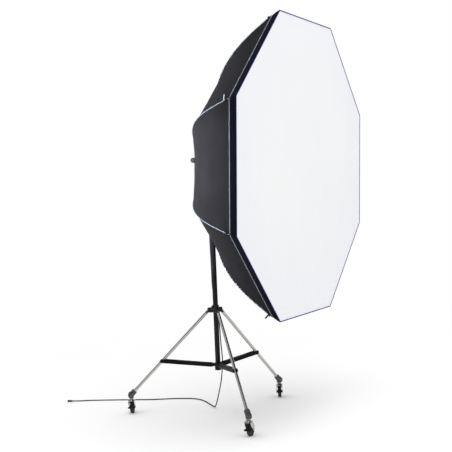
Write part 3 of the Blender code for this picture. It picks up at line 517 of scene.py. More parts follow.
MATERIALS = {
    "cover": woven("cover_cloth", rgb(0.0072, 0.0072, 0.009), rgb(0.014, 0.0137, 0.016), 0.0016, 0.009),
    "binding": woven("binding_tape", rgb(0.003, 0.003, 0.005), rgb(0.007, 0.007, 0.011), 0.0012, sheen=0.03),
    "hem": woven("hem_tape", rgb(0.026, 0.034, 0.2), rgb(0.05, 0.06, 0.3), 0.0012, rough=0.75),
    "strap": woven("strap_webbing", rgb(0.008, 0.008, 0.01), rgb(0.018, 0.018, 0.021), 0.0022, deep=0.0005),
    "pale_strap": woven("pale_strap_webbing", rgb(0.22, 0.25, 0.31), rgb(0.34, 0.37, 0.43), 0.0018),
    "thread": woven("sewing_thread", rgb(0.02, 0.021, 0.026), rgb(0.04, 0.042, 0.05), 0.0006),
    "pile": hook_tape("hook_and_loop"),
    "piping": piping_cord("piping_cord"),
    "diffuser": diffusion_cloth("diffusion_cloth"),
    "silver": silver_lining("silver_lining"),
    "chrome": chrome("chrome_plate"),
    "steel": chrome("bright_steel", (0.46, 0.46, 0.46)),
    "aluminium": turned_aluminium("turned_aluminium"),
    "tube": satin_tube("black_tube", rgb(0.0035, 0.0035, 0.0045), rgb(0.007, 0.007, 0.0085)),
    "bracket": satin_tube("bracket_metal", rgb(0.009, 0.009, 0.01), rgb(0.016, 0.016, 0.018), 0.38),
    "rod": satin_tube("rod_lacquer", rgb(0.012, 0.012, 0.012), rgb(0.02, 0.02, 0.02), 0.28),
    "painted": painted_steel("black_paint"),
    "casting": grey_casting("grey_casting"),
    "plastic": moulded("black_plastic", rgb(0.004, 0.004, 0.005), rgb(0.009, 0.009, 0.01)),
    "head": moulded("head_plastic", rgb(0.013, 0.013, 0.015), rgb(0.022, 0.022, 0.025), 0.52, 520.0, 0.00018),
    "grip": moulded("grip_rubber", rgb(0.01, 0.01, 0.01), rgb(0.018, 0.018, 0.018), 0.7, 380.0, 0.0003),
    "ink": moulded("pale_ink", rgb(0.52, 0.53, 0.54), rgb(0.66, 0.67, 0.68), 0.6, 900.0, 0.00003),
    "tyre": tyre_rubber("tyre_rubber"),
    "wheel": moulded("wheel_plastic", rgb(0.02, 0.018, 0.017), rgb(0.036, 0.033, 0.031), 0.42),
    "cord": cord_rubber("cord_rubber"),
    "glass": frosted_glass("dome_glass"),
    "green": lens_plastic("button_green", rgb(0.05, 0.4, 0.13)),
    "red": lens_plastic("rocker_red", rgb(0.42, 0.03, 0.02)),
}


# ---------------------------------------------------------------- mesh helpers
def round_edges(made, width, harden=False):
    rounded = made.modifiers.new("rounded", "BEVEL")
    rounded.width = width
    rounded.segments = 2
    rounded.limit_method = "ANGLE"
    rounded.angle_limit = radians(32.0)
    rounded.harden_normals = harden


def as_mesh(name, shape):
    """Turns a bmesh into a mesh whose faces look outwards."""
    bmesh.ops.recalc_face_normals(shape, faces=shape.faces[:])
    mesh = bpy.data.meshes.new(name)
    shape.to_mesh(mesh)
    shape.free()
    return mesh


def piece(name, shape, finish, body, slot, place=None, stands_for=(), sharp=35.0, bevel=0.0):
    """Shows a shape in the row frame, riding on a CAD body."""
    mesh = as_mesh(name, shape)
    if place is not None:
        mesh.transform(place)
    mesh.shade_smooth()
    mesh.set_sharp_from_angle(angle=radians(sharp))
    for one in finish if isinstance(finish, tuple) else (finish,):
        mesh.materials.append(MATERIALS[one])
    made = show(name, mesh)
    if bevel:
        round_edges(made, bevel, True)
    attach(made, body)
    if stands_for:
        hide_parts(*stands_for)
    return made


def loft(rings, closed_loop=False):
    """Skins a list of equal rings; the UV map runs round and along it in metres."""
    shape = bmesh.new()
    uv = shape.loops.layers.uv.new("UVMap")
    made = [[shape.verts.new(point) for point in ring] for ring in rings]
    count = len(made[0])
    pairs = list(zip(made, made[1:]))
    if closed_loop:
        pairs.append((made[-1], made[0]))
    along = 0.0
    for lower, upper in pairs:
        step = (upper[0].co - lower[0].co).length
        for i in range(count):
            j = (i + 1) % count
            face = shape.faces.new((lower[i], lower[j], upper[j], upper[i]))
            spots = ((i / count, along), ((i + 1) / count, along))
            spots += (((i + 1) / count, along + step), (i / count, along + step))
            for corner, spot in zip(face.loops, spots):
                corner[uv].uv = spot
        along += step
    if not closed_loop:
        shape.faces.new(list(reversed(made[0])))
        shape.faces.new(made[-1])
    return shape


def turned(profile, sides=48):
    """Revolves (radius, height) points about Z; off the axis at both ends it is a ring."""
    solid = profile[0][0] == 0.0
    shape = bmesh.new()
    uv = shape.loops.layers.uv.new("UVMap")
    loops = []
    for radius, height in profile:
        if radius == 0.0:
            loops.append([shape.verts.new((0.0, 0.0, height))])
            continue
        angles = [2.0 * pi * i / sides for i in range(sides)]
        loops.append([shape.verts.new((radius * cos(a), radius * sin(a), height)) for a in angles])
    pairs = list(zip(loops, loops[1:]))
    if not solid:
        pairs.append((loops[-1], loops[0]))
    for lower, upper in pairs:
        for i in range(sides):
            j = (i + 1) % sides
            corners = [lower[0]] if len(lower) == 1 else [lower[i], lower[j]]
            corners += [upper[0]] if len(upper) == 1 else [upper[j], upper[i]]
            face = shape.faces.new(corners)
            for corner in face.loops:
                spot = corner.vert.co
                corner[uv].uv = (i / sides, spot.z)
    return shape


def rod_shape(radius, low, high, sides=32):
    return turned([(0.0, low), (radius, low), (radius, high), (0.0, high)], sides)


def prism(outline, low, high, axis="Z"):
    """Extrudes a flat outline from low to high along an axis."""
    place = {
        "X": lambda u, v, height: (height, u, v),
        "Y": lambda u, v, height: (u, height, v),
        "Z": lambda u, v, height: (u, v, height),
    }[axis]
    return loft([[place(u, v, height) for u, v in outline] for height in (low, high)])


def block(low, high):
    (x0, y0, z0), (x1, y1, z1) = low, high
    return prism([(x0, y0), (x1, y0), (x1, y1), (x0, y1)], z0, z1)


def arc(centre, radius, start, end, steps):
    """Points of a round stretch of an outline, angles in degrees."""
    points = []
    for i in range(steps + 1):
        angle = radians(start + (end - start) * i / steps)
        points.append((centre[0] + radius * cos(angle), centre[1] + radius * sin(angle)))
    return points


def sweep(points, radius, sides=10, closed_loop=False):
    """A round bar along a line of points, its radius a number or a function of the fraction done."""
    line = [Vector(point) for point in points]
    last = len(line) - 1
    side = None
    rings = []
    for i, point in enumerate(line):
        after = line[(i + 1) % len(line)] if closed_loop else line[min(i + 1, last)]
        before = line[i - 1] if closed_loop else line[max(i - 1, 0)]
        along = (after - before).normalized()
        if side is None:
            side = along.orthogonal().normalized()
        side = (side - along * side.dot(along)).normalized()
        other = along.cross(side)
        thick = radius(i / last) if callable(radius) else radius
        angles = [2.0 * pi * k / sides for k in range(sides)]
        rings.append([point + thick * (cos(a) * side + sin(a) * other) for a in angles])
    return loft(rings, closed_loop)


def ribbon(points, normals, width, thick):
    """A flat strap along a line, its broad face square to the normals."""
    line = [Vector(point) for point in points]
    last = len(line) - 1
    rings = []
    for i, (point, normal) in enumerate(zip(line, normals)):
        along = (line[min(i + 1, last)] - line[max(i - 1, 0)]).normalized()
        up = (Vector(normal) - along * along.dot(Vector(normal))).normalized()
        side = along.cross(up) * (width / 2)
        lift = up * (thick / 2)
        rings.append([point - side - lift, point + side - lift, point + side + lift, point - side + lift])
    return loft(rings)


def merge(*shapes):
    """One bmesh that holds several shapes."""
    whole = bmesh.new()
    for shape in shapes:
        mesh = as_mesh("part", shape)
        whole.from_mesh(mesh)
        bpy.data.meshes.remove(mesh)
    return whole


def moved(shape, matrix):
    bmesh.ops.transform(shape, matrix=matrix, verts=shape.verts)
    return shape


def at(x, y, z):
    return Matrix.Translation((x, y, z))


def about(angle, axis):
    return Matrix.Rotation(angle, 4, axis)


def cast(shapes, holes, voxel=0.0, passes=3):
    """Joins overlapping solids and bores the holes; a voxel size gives one skin with small fillets."""
    mesh = bpy.data.meshes.new("casting")
    whole = merge(*shapes)
    whole.to_mesh(mesh)
    whole.free()
    made = show("casting", mesh)
    if voxel:
        remesh = made.modifiers.new("skin", "REMESH")
        remesh.mode = "VOXEL"
        remesh.voxel_size = voxel
        soft = made.modifiers.new("fillet", "SMOOTH")
        soft.factor = 0.5
        soft.iterations = passes
    cutters = [show("hole", as_mesh("hole", hole)) for hole in holes]
    for cutter in cutters:
        bore = made.modifiers.new("bore", "BOOLEAN")
        bore.operation = "DIFFERENCE"
        bore.object = cutter
    bpy.context.view_layer.update()
    evaluated = made.evaluated_get(bpy.context.evaluated_depsgraph_get())
    result = bmesh.new()
    result.from_mesh(evaluated.to_mesh())
    for old in [made, *cutters]:
        bpy.data.objects.remove(old, do_unlink=True)
    return result


def bolt_bore(place):
    """A cutter for a bolt across a casting."""
    return moved(rod_shape(BOLT_BORE, -0.03, 0.03, 24), place)


def cheeks(outline, near, far, axis="Z"):
    """The same slab on each side of the middle plane."""
    return [prism(outline, *sorted((near * side, far * side)), axis) for side in (-1, 1)]


def repaint(node, finish, bevel=0.0):
    """Gives a CAD node that stays its detailed material, and rounds its sharp edges."""
    kept = NODES[node]
    kept.data.materials.clear()
    kept.data.materials.append(MATERIALS[finish])
    weld = kept.modifiers.new("weld", "WELD")
    weld.merge_threshold = 0.00002
    if bevel:
        round_edges(kept, bevel)


def screw_head(radius, height):
    """A cap screw's head along +Z with a hexagon socket."""
    sides = 24
    socket = 0.52 * radius
    rings = []
    for reach, level in ((radius, 0.0), (radius, height * 0.75), (radius * 0.88, height)):
        angles = [2 * pi * i / sides for i in range(sides)]
        rings.append([(reach * cos(a), reach * sin(a), level) for a in angles])
    for level in (height, height * 0.35):
        ring = []
        for i in range(sides):
            angle = 2 * pi * i / sides
            flat = socket * cos(pi / 6) / cos((angle % (pi / 3)) - pi / 6)
            ring.append((flat * cos(angle), flat * sin(angle), level))
        rings.append(ring)
    return loft(rings)


def screw(name, radius, height, finish, body, slot, place):
    piece(name, screw_head(radius, height), finish, body, slot, place, sharp=40.0)


def lobed(rows, sides, lobes, depth):
    """Skins rings of a grip; a row is a radius, a height and its share of the lobes' depth."""
    rings = []
    for reach, level, share in rows:
        ring = []
        for i in range(sides):
            angle = 2.0 * pi * i / sides
            wide = reach * (1.0 - depth * share * (0.5 + 0.5 * cos(lobes * angle)))
            ring.append((wide * cos(angle), wide * sin(angle), level))
        rings.append(ring)
    return loft(rings)


# ---------------------------------------------------------------- softbox shape
def rib_point(t):
    """Corner radius and depth behind the front edge, along a rib from the speed ring to the seam."""
    start = (BACK_CORNER, BACK_DEPTH)
    leave = (BACK_CORNER + 0.458, BACK_DEPTH - 0.046)
    arrive = (SEAM_CORNER - 0.206, LIP_DEPTH + 0.365)
    end = (SEAM_CORNER, LIP_DEPTH)
    weights = ((1 - t) ** 3, 3 * t * (1 - t) ** 2, 3 * t * t * (1 - t), t**3)
    radius = sum(w * p[0] for w, p in zip(weights, (start, leave, arrive, end)))
    depth = sum(w * p[1] for w, p in zip(weights, (start, leave, arrive, end)))
    return radius, depth


def rib_inward(t):
    """Unit (radius, depth) direction from a rib into the box."""
    step = 0.001
    ahead = rib_point(min(t + step, 1.0))
    behind = rib_point(max(t - step, 0.0))
    run = (ahead[0] - behind[0], ahead[1] - behind[1])
    length = sqrt(run[0] ** 2 + run[1] ** 2)
    return run[1] / length, -run[0] / length


def corner_angle(k):
    return (k + 0.5) * 2.0 * pi / BOX_SIDES


def on_axis(radius, depth, angle):
    return Vector((radius * cos(angle), depth, radius * sin(angle)))


def rib_spot(k, t, inwards=0.0):
    radius, depth = rib_point(t)
    into = rib_inward(t)
    return on_axis(radius + inwards * into[0], depth + inwards * into[1], corner_angle(k))


def rib_normal(k, t):
    into = rib_inward(t)
    return -on_axis(into[0], into[1], corner_angle(k))


def panel_spot(k, u, t, inwards=0.0):
    """A point of one cover panel: stretched straight at its hems, drawn in between the ribs."""
    chord = rib_spot(k, t, inwards).lerp(rib_spot(k + 1, t, inwards), u)
    middle = corner_angle(k) + pi / BOX_SIDES
    into = rib_inward(t)
    inward = on_axis(into[0], into[1], middle)
    pull = (0.003 + PANEL_SAG * sin(pi * t) ** 0.7) * (4.0 * u * (1.0 - u)) ** 0.85
    edge = min(u, 1.0 - u)
    soft = noise.noise(Vector((4.0 * u + 7.1 * k, 5.0 * t, 1.7 * k)))
    gathers = noise.noise(Vector((2.2 * u, 46.0 * t, 3.3 * k + (5.0 if u > 0.5 else 0.0))))
    hold = min(1.0, 8.0 * edge) * min(1.0, 9.0 * (1.0 - t)) * min(1.0, 12.0 * t)
    ripple = 0.003 * soft * hold + 0.0022 * gathers * hold * exp(-edge / 0.09)
    return chord + inward * (pull + ripple)


def build_cover():
    """Eight sewn panels: black cloth outside and silver lining inside."""
    across = 28
    down = 72
    shape = bmesh.new()
    uv = shape.loops.layers.uv.new("UVMap")
    skins = []
    for inwards in (0.0, CLOTH):
        rows = []
        for j in range(down + 1):
            row = []
            for k in range(BOX_SIDES):
                for i in range(across):
                    row.append(shape.verts.new(panel_spot(k, i / across, j / down, inwards)))
            rows.append(row)
        skins.append(rows)
    count = BOX_SIDES * across
    for skin, rows in enumerate(skins):
        for j in range(down):
            for i in range(count):
                n = (i + 1) % count
                face = shape.faces.new((rows[j][i], rows[j][n], rows[j + 1][n], rows[j + 1][i]))
                face.material_index = skin
                for corner, (a, b) in zip(face.loops, ((i, j), (i + 1, j), (i + 1, j + 1), (i, j + 1))):
                    width = 2.0 * rib_point(b / down)[0] * sin(pi / BOX_SIDES)
                    fraction = (a - (i // across) * across) / across
                    corner[uv].uv = ((fraction - 0.5) * width, 1.02 * b / down)
    outer, inner = skins
    for edge in (0, down):
        for i in range(count):
            n = (i + 1) % count
            shape.faces.new((outer[edge][i], outer[edge][n], inner[edge][n], inner[edge][i]))
    area = sum(face.calc_area() for face in shape.faces if face.material_index == 0)
    made = piece("cover", shape, ("cover", "silver"), *ON_BOX,
                 ("shell_cover",), sharp=50.0)


def build_piping():
    """Edging along each rib seam and round the seam that joins the cover to its lip."""
    for k in range(BOX_SIDES):
        line = [rib_spot(k, 0.015 + 0.98 * i / 64, -0.0008) for i in range(65)]
        shape = sweep(line, PIPING_RADIUS, 10)
        piece(f"rib_piping_{k + 1}", shape, "piping", *ON_BOX)
    line = []
    for k in range(BOX_SIDES):
        here = on_axis(SEAM_CORNER + 0.0012, LIP_DEPTH + 0.001, corner_angle(k))
        there = on_axis(SEAM_CORNER + 0.0012, LIP_DEPTH + 0.001, corner_angle(k + 1))
        for i in range(24):
            line.append(here.lerp(there, 0.02 + 0.96 * i / 23))
    shape = sweep(line, PIPING_RADIUS, 10, closed_loop=True)
    piece("seam_piping", shape, "piping", *ON_BOX)


def stitch_line(line, normals, length, gap, radius):
    """Short raised threads laid end to end along a line."""
    threads = []
    covered = 0.0
    for start, end, normal in zip(line, line[1:], normals):
        step = (end - start).length
        covered += step
        if covered < length + gap:
            continue
        covered = 0.0
        along = (end - start).normalized()
        points = [
            start - along * (length / 2),
            start - along * (length / 4) + normal * radius,
            start + along * (length / 4) + normal * radius,
            start + along * (length / 2),
        ]
        threads.append(sweep(points, radius, 5))
    return merge(*threads)


def build_seam_stitches():
    """Two rows of topstitching beside every rib seam."""
    steps = 420
    for k in range(BOX_SIDES):
        rows = []
        for u in (0.0, 1.0):
            line = []
            for i in range(steps):
                t = 0.05 + 0.94 * i / (steps - 1)
                width = 2.0 * rib_point(t)[0] * sin(pi / BOX_SIDES)
                line.append(panel_spot(k, abs(u - 0.011 / width), t, -0.0003))
            normals = [rib_normal(k, 0.05 + 0.94 * i / (steps - 1)) for i in range(steps)]
            rows.append(stitch_line(line, normals, 0.0042, 0.0024, 0.00045))
        piece(f"seam_stitches_{k + 1}", merge(*rows), "thread", *ON_BOX)


def build_lip():
    """The stiff front band with its hook-and-loop face inside and a folded front edge."""
    shape = bmesh.new()
    uv = shape.loops.layers.uv.new("UVMap")
    section = [(SEAM_CORNER + 0.0008, LIP_DEPTH - 0.0016)]
    for i in range(1, 6):
        t = i / 6
        bow = 0.0018 * sin(pi * t)
        section.append((SEAM_CORNER + 0.0008 + (BOX_CORNER - SEAM_CORNER - 0.0018) * t + bow,
                        (LIP_DEPTH - 0.0016) * (1 - t) + 0.001 * t))
    section += [(BOX_CORNER, 0.0022), (BOX_CORNER, 0.0002), (BOX_CORNER - 0.0014, -0.001),
                (BOX_CORNER - 0.0032, -0.001), (BOX_CORNER - 0.0044, 0.0002),
                (BOX_CORNER - 0.0038, 0.004), (SEAM_CORNER - 0.0022, LIP_DEPTH - 0.0016)]
    across = 40
    rings = []
    for k in range(BOX_SIDES):
        for i in range(across):
            u = i / across
            ring = []
            for j, (radius, depth) in enumerate(section):
                here = on_axis(radius, depth, corner_angle(k))
                there = on_axis(radius, depth, corner_angle(k + 1))
                spot = here.lerp(there, u)
                middle = on_axis(1.0, 0.0, corner_angle(k) + pi / BOX_SIDES)
                wave = noise.noise(Vector((7.0 * u + 3.0 * k, 2.0 * depth, 4.0)))
                calm = min(1.0, 10.0 * min(u, 1.0 - u)) * (1.0 if 0 < j < 6 else 0.35)
                ring.append(spot + middle * (0.0011 * wave * calm))
            rings.append([shape.verts.new(spot) for spot in ring])
    total = len(rings)
    for i in range(total):
        n = (i + 1) % total
        for j in range(len(section)):
            m = (j + 1) % len(section)
            face = shape.faces.new((rings[i][j], rings[n][j], rings[n][m], rings[i][m]))
            face.material_index = 1 if j >= 9 else 0
            for corner, (a, b) in zip(face.loops, ((i, j), (i + 1, j), (i + 1, j + 1), (i, j + 1))):
                corner[uv].uv = (a * 0.0177, b * 0.008)
    piece("lip_band", shape, ("pile", "binding"), *ON_BOX,
          ("front_lip",), sharp=60.0)


def octagon_reach(angle):
    """How far out a unit octagon's edge lies in a direction, its corners being at 1."""
    turn = (angle - corner_angle(0)) % (2 * pi / BOX_SIDES) - pi / BOX_SIDES
    return cos(pi / BOX_SIDES) / cos(turn)


def cloth_disc(name, corner, depth, thickness, finish, slot, stands_for, belly, ripple, tabs=0.0):
    """A tensioned octagonal sheet with a slight belly and creases that run in from its corners."""
    rings = 44
    around = BOX_SIDES * 26
    half = pi / BOX_SIDES
    shape = bmesh.new()
    uv = shape.loops.layers.uv.new("UVMap")
    skins = []
    for lift in (0.0, thickness):
        centre = shape.verts.new((0.0, depth + lift - belly, 0.0))
        rows = []
        for j in range(1, rings + 1):
            reach = (j / rings) ** 0.9
            row = []
            for i in range(around):
                angle = corner_angle(0) + 2 * pi * i / around
                radius = corner * reach * octagon_reach(angle)
                if tabs and j == rings and i % 26 in (0, 1, 25):
                    radius += tabs
                to_corner = abs((angle - corner_angle(0) + half) % (2 * half) - half)
                crease = exp(-((to_corner * reach / 0.1) ** 2)) * sin(58.0 * to_corner) * reach**3
                wave = noise.noise(Vector((2.6 * radius * cos(angle), 0.3, 2.6 * radius * sin(angle))))
                out = belly * (1.0 - reach**2) + ripple * (crease + wave) * min(1.0, 14.0 * (1.0 - reach))
                row.append(shape.verts.new(on_axis(radius, depth + lift - out, angle)))
            rows.append(row)
        skins.append((centre, rows))
    faces = []
    for centre, rows in skins:
        for i in range(around):
            faces.append(shape.faces.new((centre, rows[0][i], rows[0][(i + 1) % around])))
        for low, high in zip(rows, rows[1:]):
            for i in range(around):
                n = (i + 1) % around
                faces.append(shape.faces.new((low[i], low[n], high[n], high[i])))
    front, back = skins[0][1][-1], skins[1][1][-1]
    for i in range(around):
        n = (i + 1) % around
        faces.append(shape.faces.new((front[i], front[n], back[n], back[i])))
    for face in faces:
        for corner_loop in face.loops:
            corner_loop[uv].uv = (corner_loop.vert.co.x, corner_loop.vert.co.z)
    return piece(name, shape, finish, "softbox", slot, SOFTBOX_FRAME, stands_for, sharp=50.0)


def build_diffusers():
    """The front cloth with its folded hem tape, and the baffle on its eight straps."""
    front_corner = BOX_CORNER - 0.0046
    front = cloth_disc("front_cloth", front_corner, 0.0006, 0.001, "diffuser", "white_cloth",
                       ("front_diffuser",), 0.0016, 0.0012)

    outer = BOX_CORNER - 0.0012
    inner = BOX_CORNER - 0.0062
    rings = []
    for k in range(BOX_SIDES):
        for i in range(12):
            ring = []
            for radius, depth in ((outer, 0.0006), (outer, -0.0016), (inner, -0.0012), (inner, 0.0006)):
                here = on_axis(radius, depth, corner_angle(k))
                ring.append(here.lerp(on_axis(radius, depth, corner_angle(k + 1)), i / 12))
            rings.append(ring)
    piece("front_hem", loft(rings, closed_loop=True), "hem", *ON_BOX)

    baffle = cloth_disc("baffle_cloth", BAFFLE_CORNER, BAFFLE_DEPTH - 0.0006, 0.0012, "diffuser",
                        "white_cloth", ("inner_baffle",), 0.01, 0.002, tabs=0.006)
    for k in range(BOX_SIDES):
        angle = corner_angle(k)
        start = on_axis(BAFFLE_CORNER - 0.022, BAFFLE_DEPTH, angle)
        end = on_axis(BAFFLE_CORNER + BAFFLE_TAB, BAFFLE_DEPTH, angle)
        line = [start.lerp(end, i / 6) for i in range(7)]
        shape = ribbon(line, [(0.0, -1.0, 0.0)] * 7, 0.018, 0.0014)
        piece(f"baffle_strap_{k + 1}", shape, "strap", "softbox", "white_cloth", SOFTBOX_FRAME)


def build_corner_details():
    """Each rod's sewn pocket and cap at the front corner; one corner has a pull tab and one a pale strap."""
    for k in range(BOX_SIDES):
        stations = (0.955, 0.965, 0.975, 0.985, 0.992)
        line = [rib_spot(k, t, -0.0016) for t in stations]
        shape = ribbon(line, [rib_normal(k, t) for t in stations], 0.016, 0.0016)
        piece(f"rod_pocket_{k + 1}", shape, "binding", *ON_BOX, bevel=0.0006)
        out = rib_normal(k, 0.98)
        run = (rib_spot(k, 0.985) - rib_spot(k, 0.955)).normalized()
        turn = run.to_track_quat("Z", "Y").to_matrix().to_4x4()
        cap = turned(((0.0, -0.007), (0.0034, -0.0065), (0.004, -0.0045), (0.004, 0.004),
                      (0.003, 0.0062), (0.0, 0.007)), 20)
        place = SOFTBOX_FRAME @ Matrix.Translation(rib_spot(k, 0.978) + out * 0.005) @ turn
        piece(f"rod_cap_{k + 1}", cap, "plastic", "softbox", "black_cloth", place)

    for name, finish, base, run, length, face, width, thick, bevel in (
        ("pull_tab", "strap", rib_spot(5, 0.972, -0.002), (-0.35, 0.55, -0.75), 0.03,
         (-0.8, 0.1, 0.45), 0.011, 0.002, 0.0006),
        ("pale_strap", "pale_strap", rib_spot(3, 0.958, -0.0035), (0.22, 0.04, 0.97), 0.032,
         (-0.9, -0.4, 0.2), 0.006, 0.0016, 0.0004),
    ):
        points = [base + Vector(run).normalized() * (length * i / 8) for i in range(9)]
        piece(name, ribbon(points, [face] * 9, width, thick), finish, *ON_BOX, bevel=bevel)


def build_back_collar():
    """An elastic cuff closes the cover round the speed ring."""
    rings = []
    steps = 96
    for i in range(steps):
        angle = 2 * pi * i / steps
        pucker = 0.0007 * sin(24 * angle)
        reach = octagon_reach(angle)
        ring = []
        for radius, depth in ((BACK_CORNER + 0.012, 0.5972), (BACK_CORNER + 0.004, 0.6016),
                              (BACK_CORNER - 0.006, 0.6032), (BACK_CORNER - 0.013, 0.6022),
                              (BACK_CORNER - 0.013, 0.6), (BACK_CORNER + 0.004, 0.599)):
            ring.append(on_axis(radius * reach + pucker, depth + pucker, angle))
        rings.append(ring)
    piece("back_cuff", loft(rings, closed_loop=True), "binding", *ON_BOX,
          sharp=60.0)


# ---------------------------------------------------------------- cords
def cord_tube(name, route, spacing, stands_for):
    """A round cord on a smooth line; the route counts from the column's foot."""
    line = [point + COLUMN for point in smooth_line(route, spacing)]
    mesh = as_mesh(name, sweep(line, CORD_RADIUS, 14))
    mesh.shade_smooth()
    mesh.set_sharp_from_angle(angle=radians(50.0))
    mesh.materials.append(MATERIALS["cord"])
    made = show(name, mesh)
    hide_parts(stands_for)
    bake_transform(made)
    length = sum((b - a).length for a, b in zip(line, line[1:]))
    return made, line, length


def build_cords():
    """The cord leaves the head, passes the bracket's clip and the riser's tie, and runs over the floor."""
    made, line, length = cord_tube(
        "cord_at_head", HEAD_CORD, 0.004, "cord_head_run"
    )

    made, line, length = cord_tube(
        "cord_at_tie", CLIP_CORD, 0.003, "cord_clip_run"
    )

    made, line, length = cord_tube(
        "cord_to_floor", HANGING_CORD, 0.009, "cord_floor_run"
    )
    plug = build_connector(line[-1], (line[-1] - line[-3]).normalized())


def build_connector(end, along):
    """A slim moulded connector with a ribbed neck and grip grooves."""
    profile = [(0.0, 0.0003)]
    for i in range(6):
        rib = 0.0003 + 0.0018 * i
        profile += [(0.0044, rib), (0.0044, rib + 0.0009), (0.0037, rib + 0.001)]
    profile += [(0.0046, 0.0118), (0.0062, 0.0135)]
    for i in range(5):
        profile += [(0.0065, 0.015 + 0.003 * i), (0.0065, 0.0168 + 0.003 * i), (0.006, 0.0172 + 0.003 * i)]
    profile += [(0.0065, 0.031), (0.0065, 0.0385), (0.0056, 0.0398), (0.0044, 0.04),
                (0.0044, 0.0345), (0.0, 0.0345)]
    turn = along.to_track_quat("Z", "Y").to_matrix().to_4x4()
    return piece("cord_connector", turned(profile, 28), "plastic", "root", "cord_black",
                 Matrix.Translation(end) @ turn, ("cord_plug",))


# ---------------------------------------------------------------- small hardware
def knob_shape(tip, stem, seat, radius):
    """A screw knob along +Z: a plain stem from tip to seat, then a six-lobed grip with a dished end."""
    rows = ((stem - 0.0003, tip, 0.0), (stem, tip + 0.0004, 0.0), (stem, seat - 0.0001, 0.0),
            (radius * 0.55, seat, 0.0), (radius * 0.62, seat + 0.0012, 0.0),
            (radius * 0.9, seat + 0.0022, 1.0), (radius, seat + 0.0035, 1.0),
            (radius, seat + 0.0115, 1.0), (radius * 0.95, seat + 0.0132, 1.0),
            (radius * 0.8, seat + 0.0144, 0.5), (radius * 0.52, seat + 0.015, 0.0),
            (radius * 0.46, seat + 0.0143, 0.0))
    return lobed(rows, 72, 6, 0.09)


def bearing(joint):
    spot = Vector(JOINTS[joint]["pos_m"]) - COLUMN
    return atan2(spot.y, spot.x)


def soft_tube(bore, radius, low, high, sides=64):
    """A tube whose outer rims are eased."""
    ease = 0.0004
    profile = ((bore, low), (radius - ease, low), (radius, low + ease), (radius, high - ease),
               (radius - ease, high), (bore, high))
    return turned(profile, sides)


# ---------------------------------------------------------------- column
def build_column():
    column = soft_tube(0.0148, COLUMN_RADIUS, COLUMN_BOTTOM, COLUMN_TOP)
    piece("column_tube", column, "tube", "root", "black_tube", STAND_FRAME, ("base_column",))
    riser = soft_tube(0.0125, RISER_RADIUS, 0.5, RISER_TOP)
    piece("riser", riser, "tube", "riser", "black_tube", STAND_FRAME, ("riser_tube",))

    top = RISER_TOP
    spigot = (
        (0.0, top - 0.035), (0.0122, top - 0.035), (0.0122, top + GAP), (0.0136, top + GAP),
        (RISER_RADIUS, top + 0.0008), (RISER_RADIUS, top + 0.0072), (0.0134, top + 0.008),
        (0.0092, top + 0.0084), (SPIGOT_RADIUS, top + 0.0094), (SPIGOT_RADIUS, top + 0.03),
        (0.0068, top + 0.0316), (0.0068, top + 0.044), (SPIGOT_RADIUS, top + 0.0456),
        (SPIGOT_RADIUS, top + 0.072), (0.0065, top + 0.074), (0.0, top + 0.074),
    )
    piece("spigot_pin", turned(spigot, 64), "chrome", "riser", "chrome", STAND_FRAME, ("spigot",))

    collar = cast(
        [
            turned(((0.0, -0.02), (0.0205, -0.02), (0.0225, -0.018), (0.0225, 0.019),
                    (0.02, 0.0225), (0.0, 0.0225)), 64),
            block((-0.034, -0.009, -0.001), (-0.015, 0.009, 0.019)),
        ],
        [
            rod_shape(RISER_RADIUS + GAP, -0.03, 0.03, 64),
            rod_shape(COLUMN_RADIUS + GAP, -0.03, GAP, 64),
            moved(rod_shape(THREAD_BORE, 0.0, 0.05, 24), at(0, 0, 0.01) @ about(-pi / 2, "Y")),
        ],
        0.0009,
    )
    piece("lock_collar", collar, "plastic", "root", "black_plastic", STAND_FRAME @ at(0, 0, COLUMN_TOP),
          ("riser_lock_collar",))
    place = STAND_FRAME @ at(0, 0, COLUMN_TOP + 0.01) @ about(-pi / 2, "Y")
    knob = knob_shape(0.015, 0.003, 0.0343, 0.014)
    piece("lock_knob", knob, "grip", "riser_knob", "black_plastic", place, ("riser_lock_knob",))

    low = top - 0.014
    x, y = HANGING_CORD[0][:2]
    reach = sqrt(x * x + y * y)
    grip = moved(block((0.01, -0.006, low), (reach + 0.0055, 0.006, top)), about(atan2(y, x), "Z"))
    bore = rod_shape(RISER_RADIUS + GAP, 1.3, 1.4, 64)
    tie = cast([rod_shape(0.0166, low, top, 64), grip], [bore], 0.0008, 2)
    piece("cord_tie", tie, "plastic", "riser", "black_plastic", STAND_FRAME, ("riser_cord_tie",))


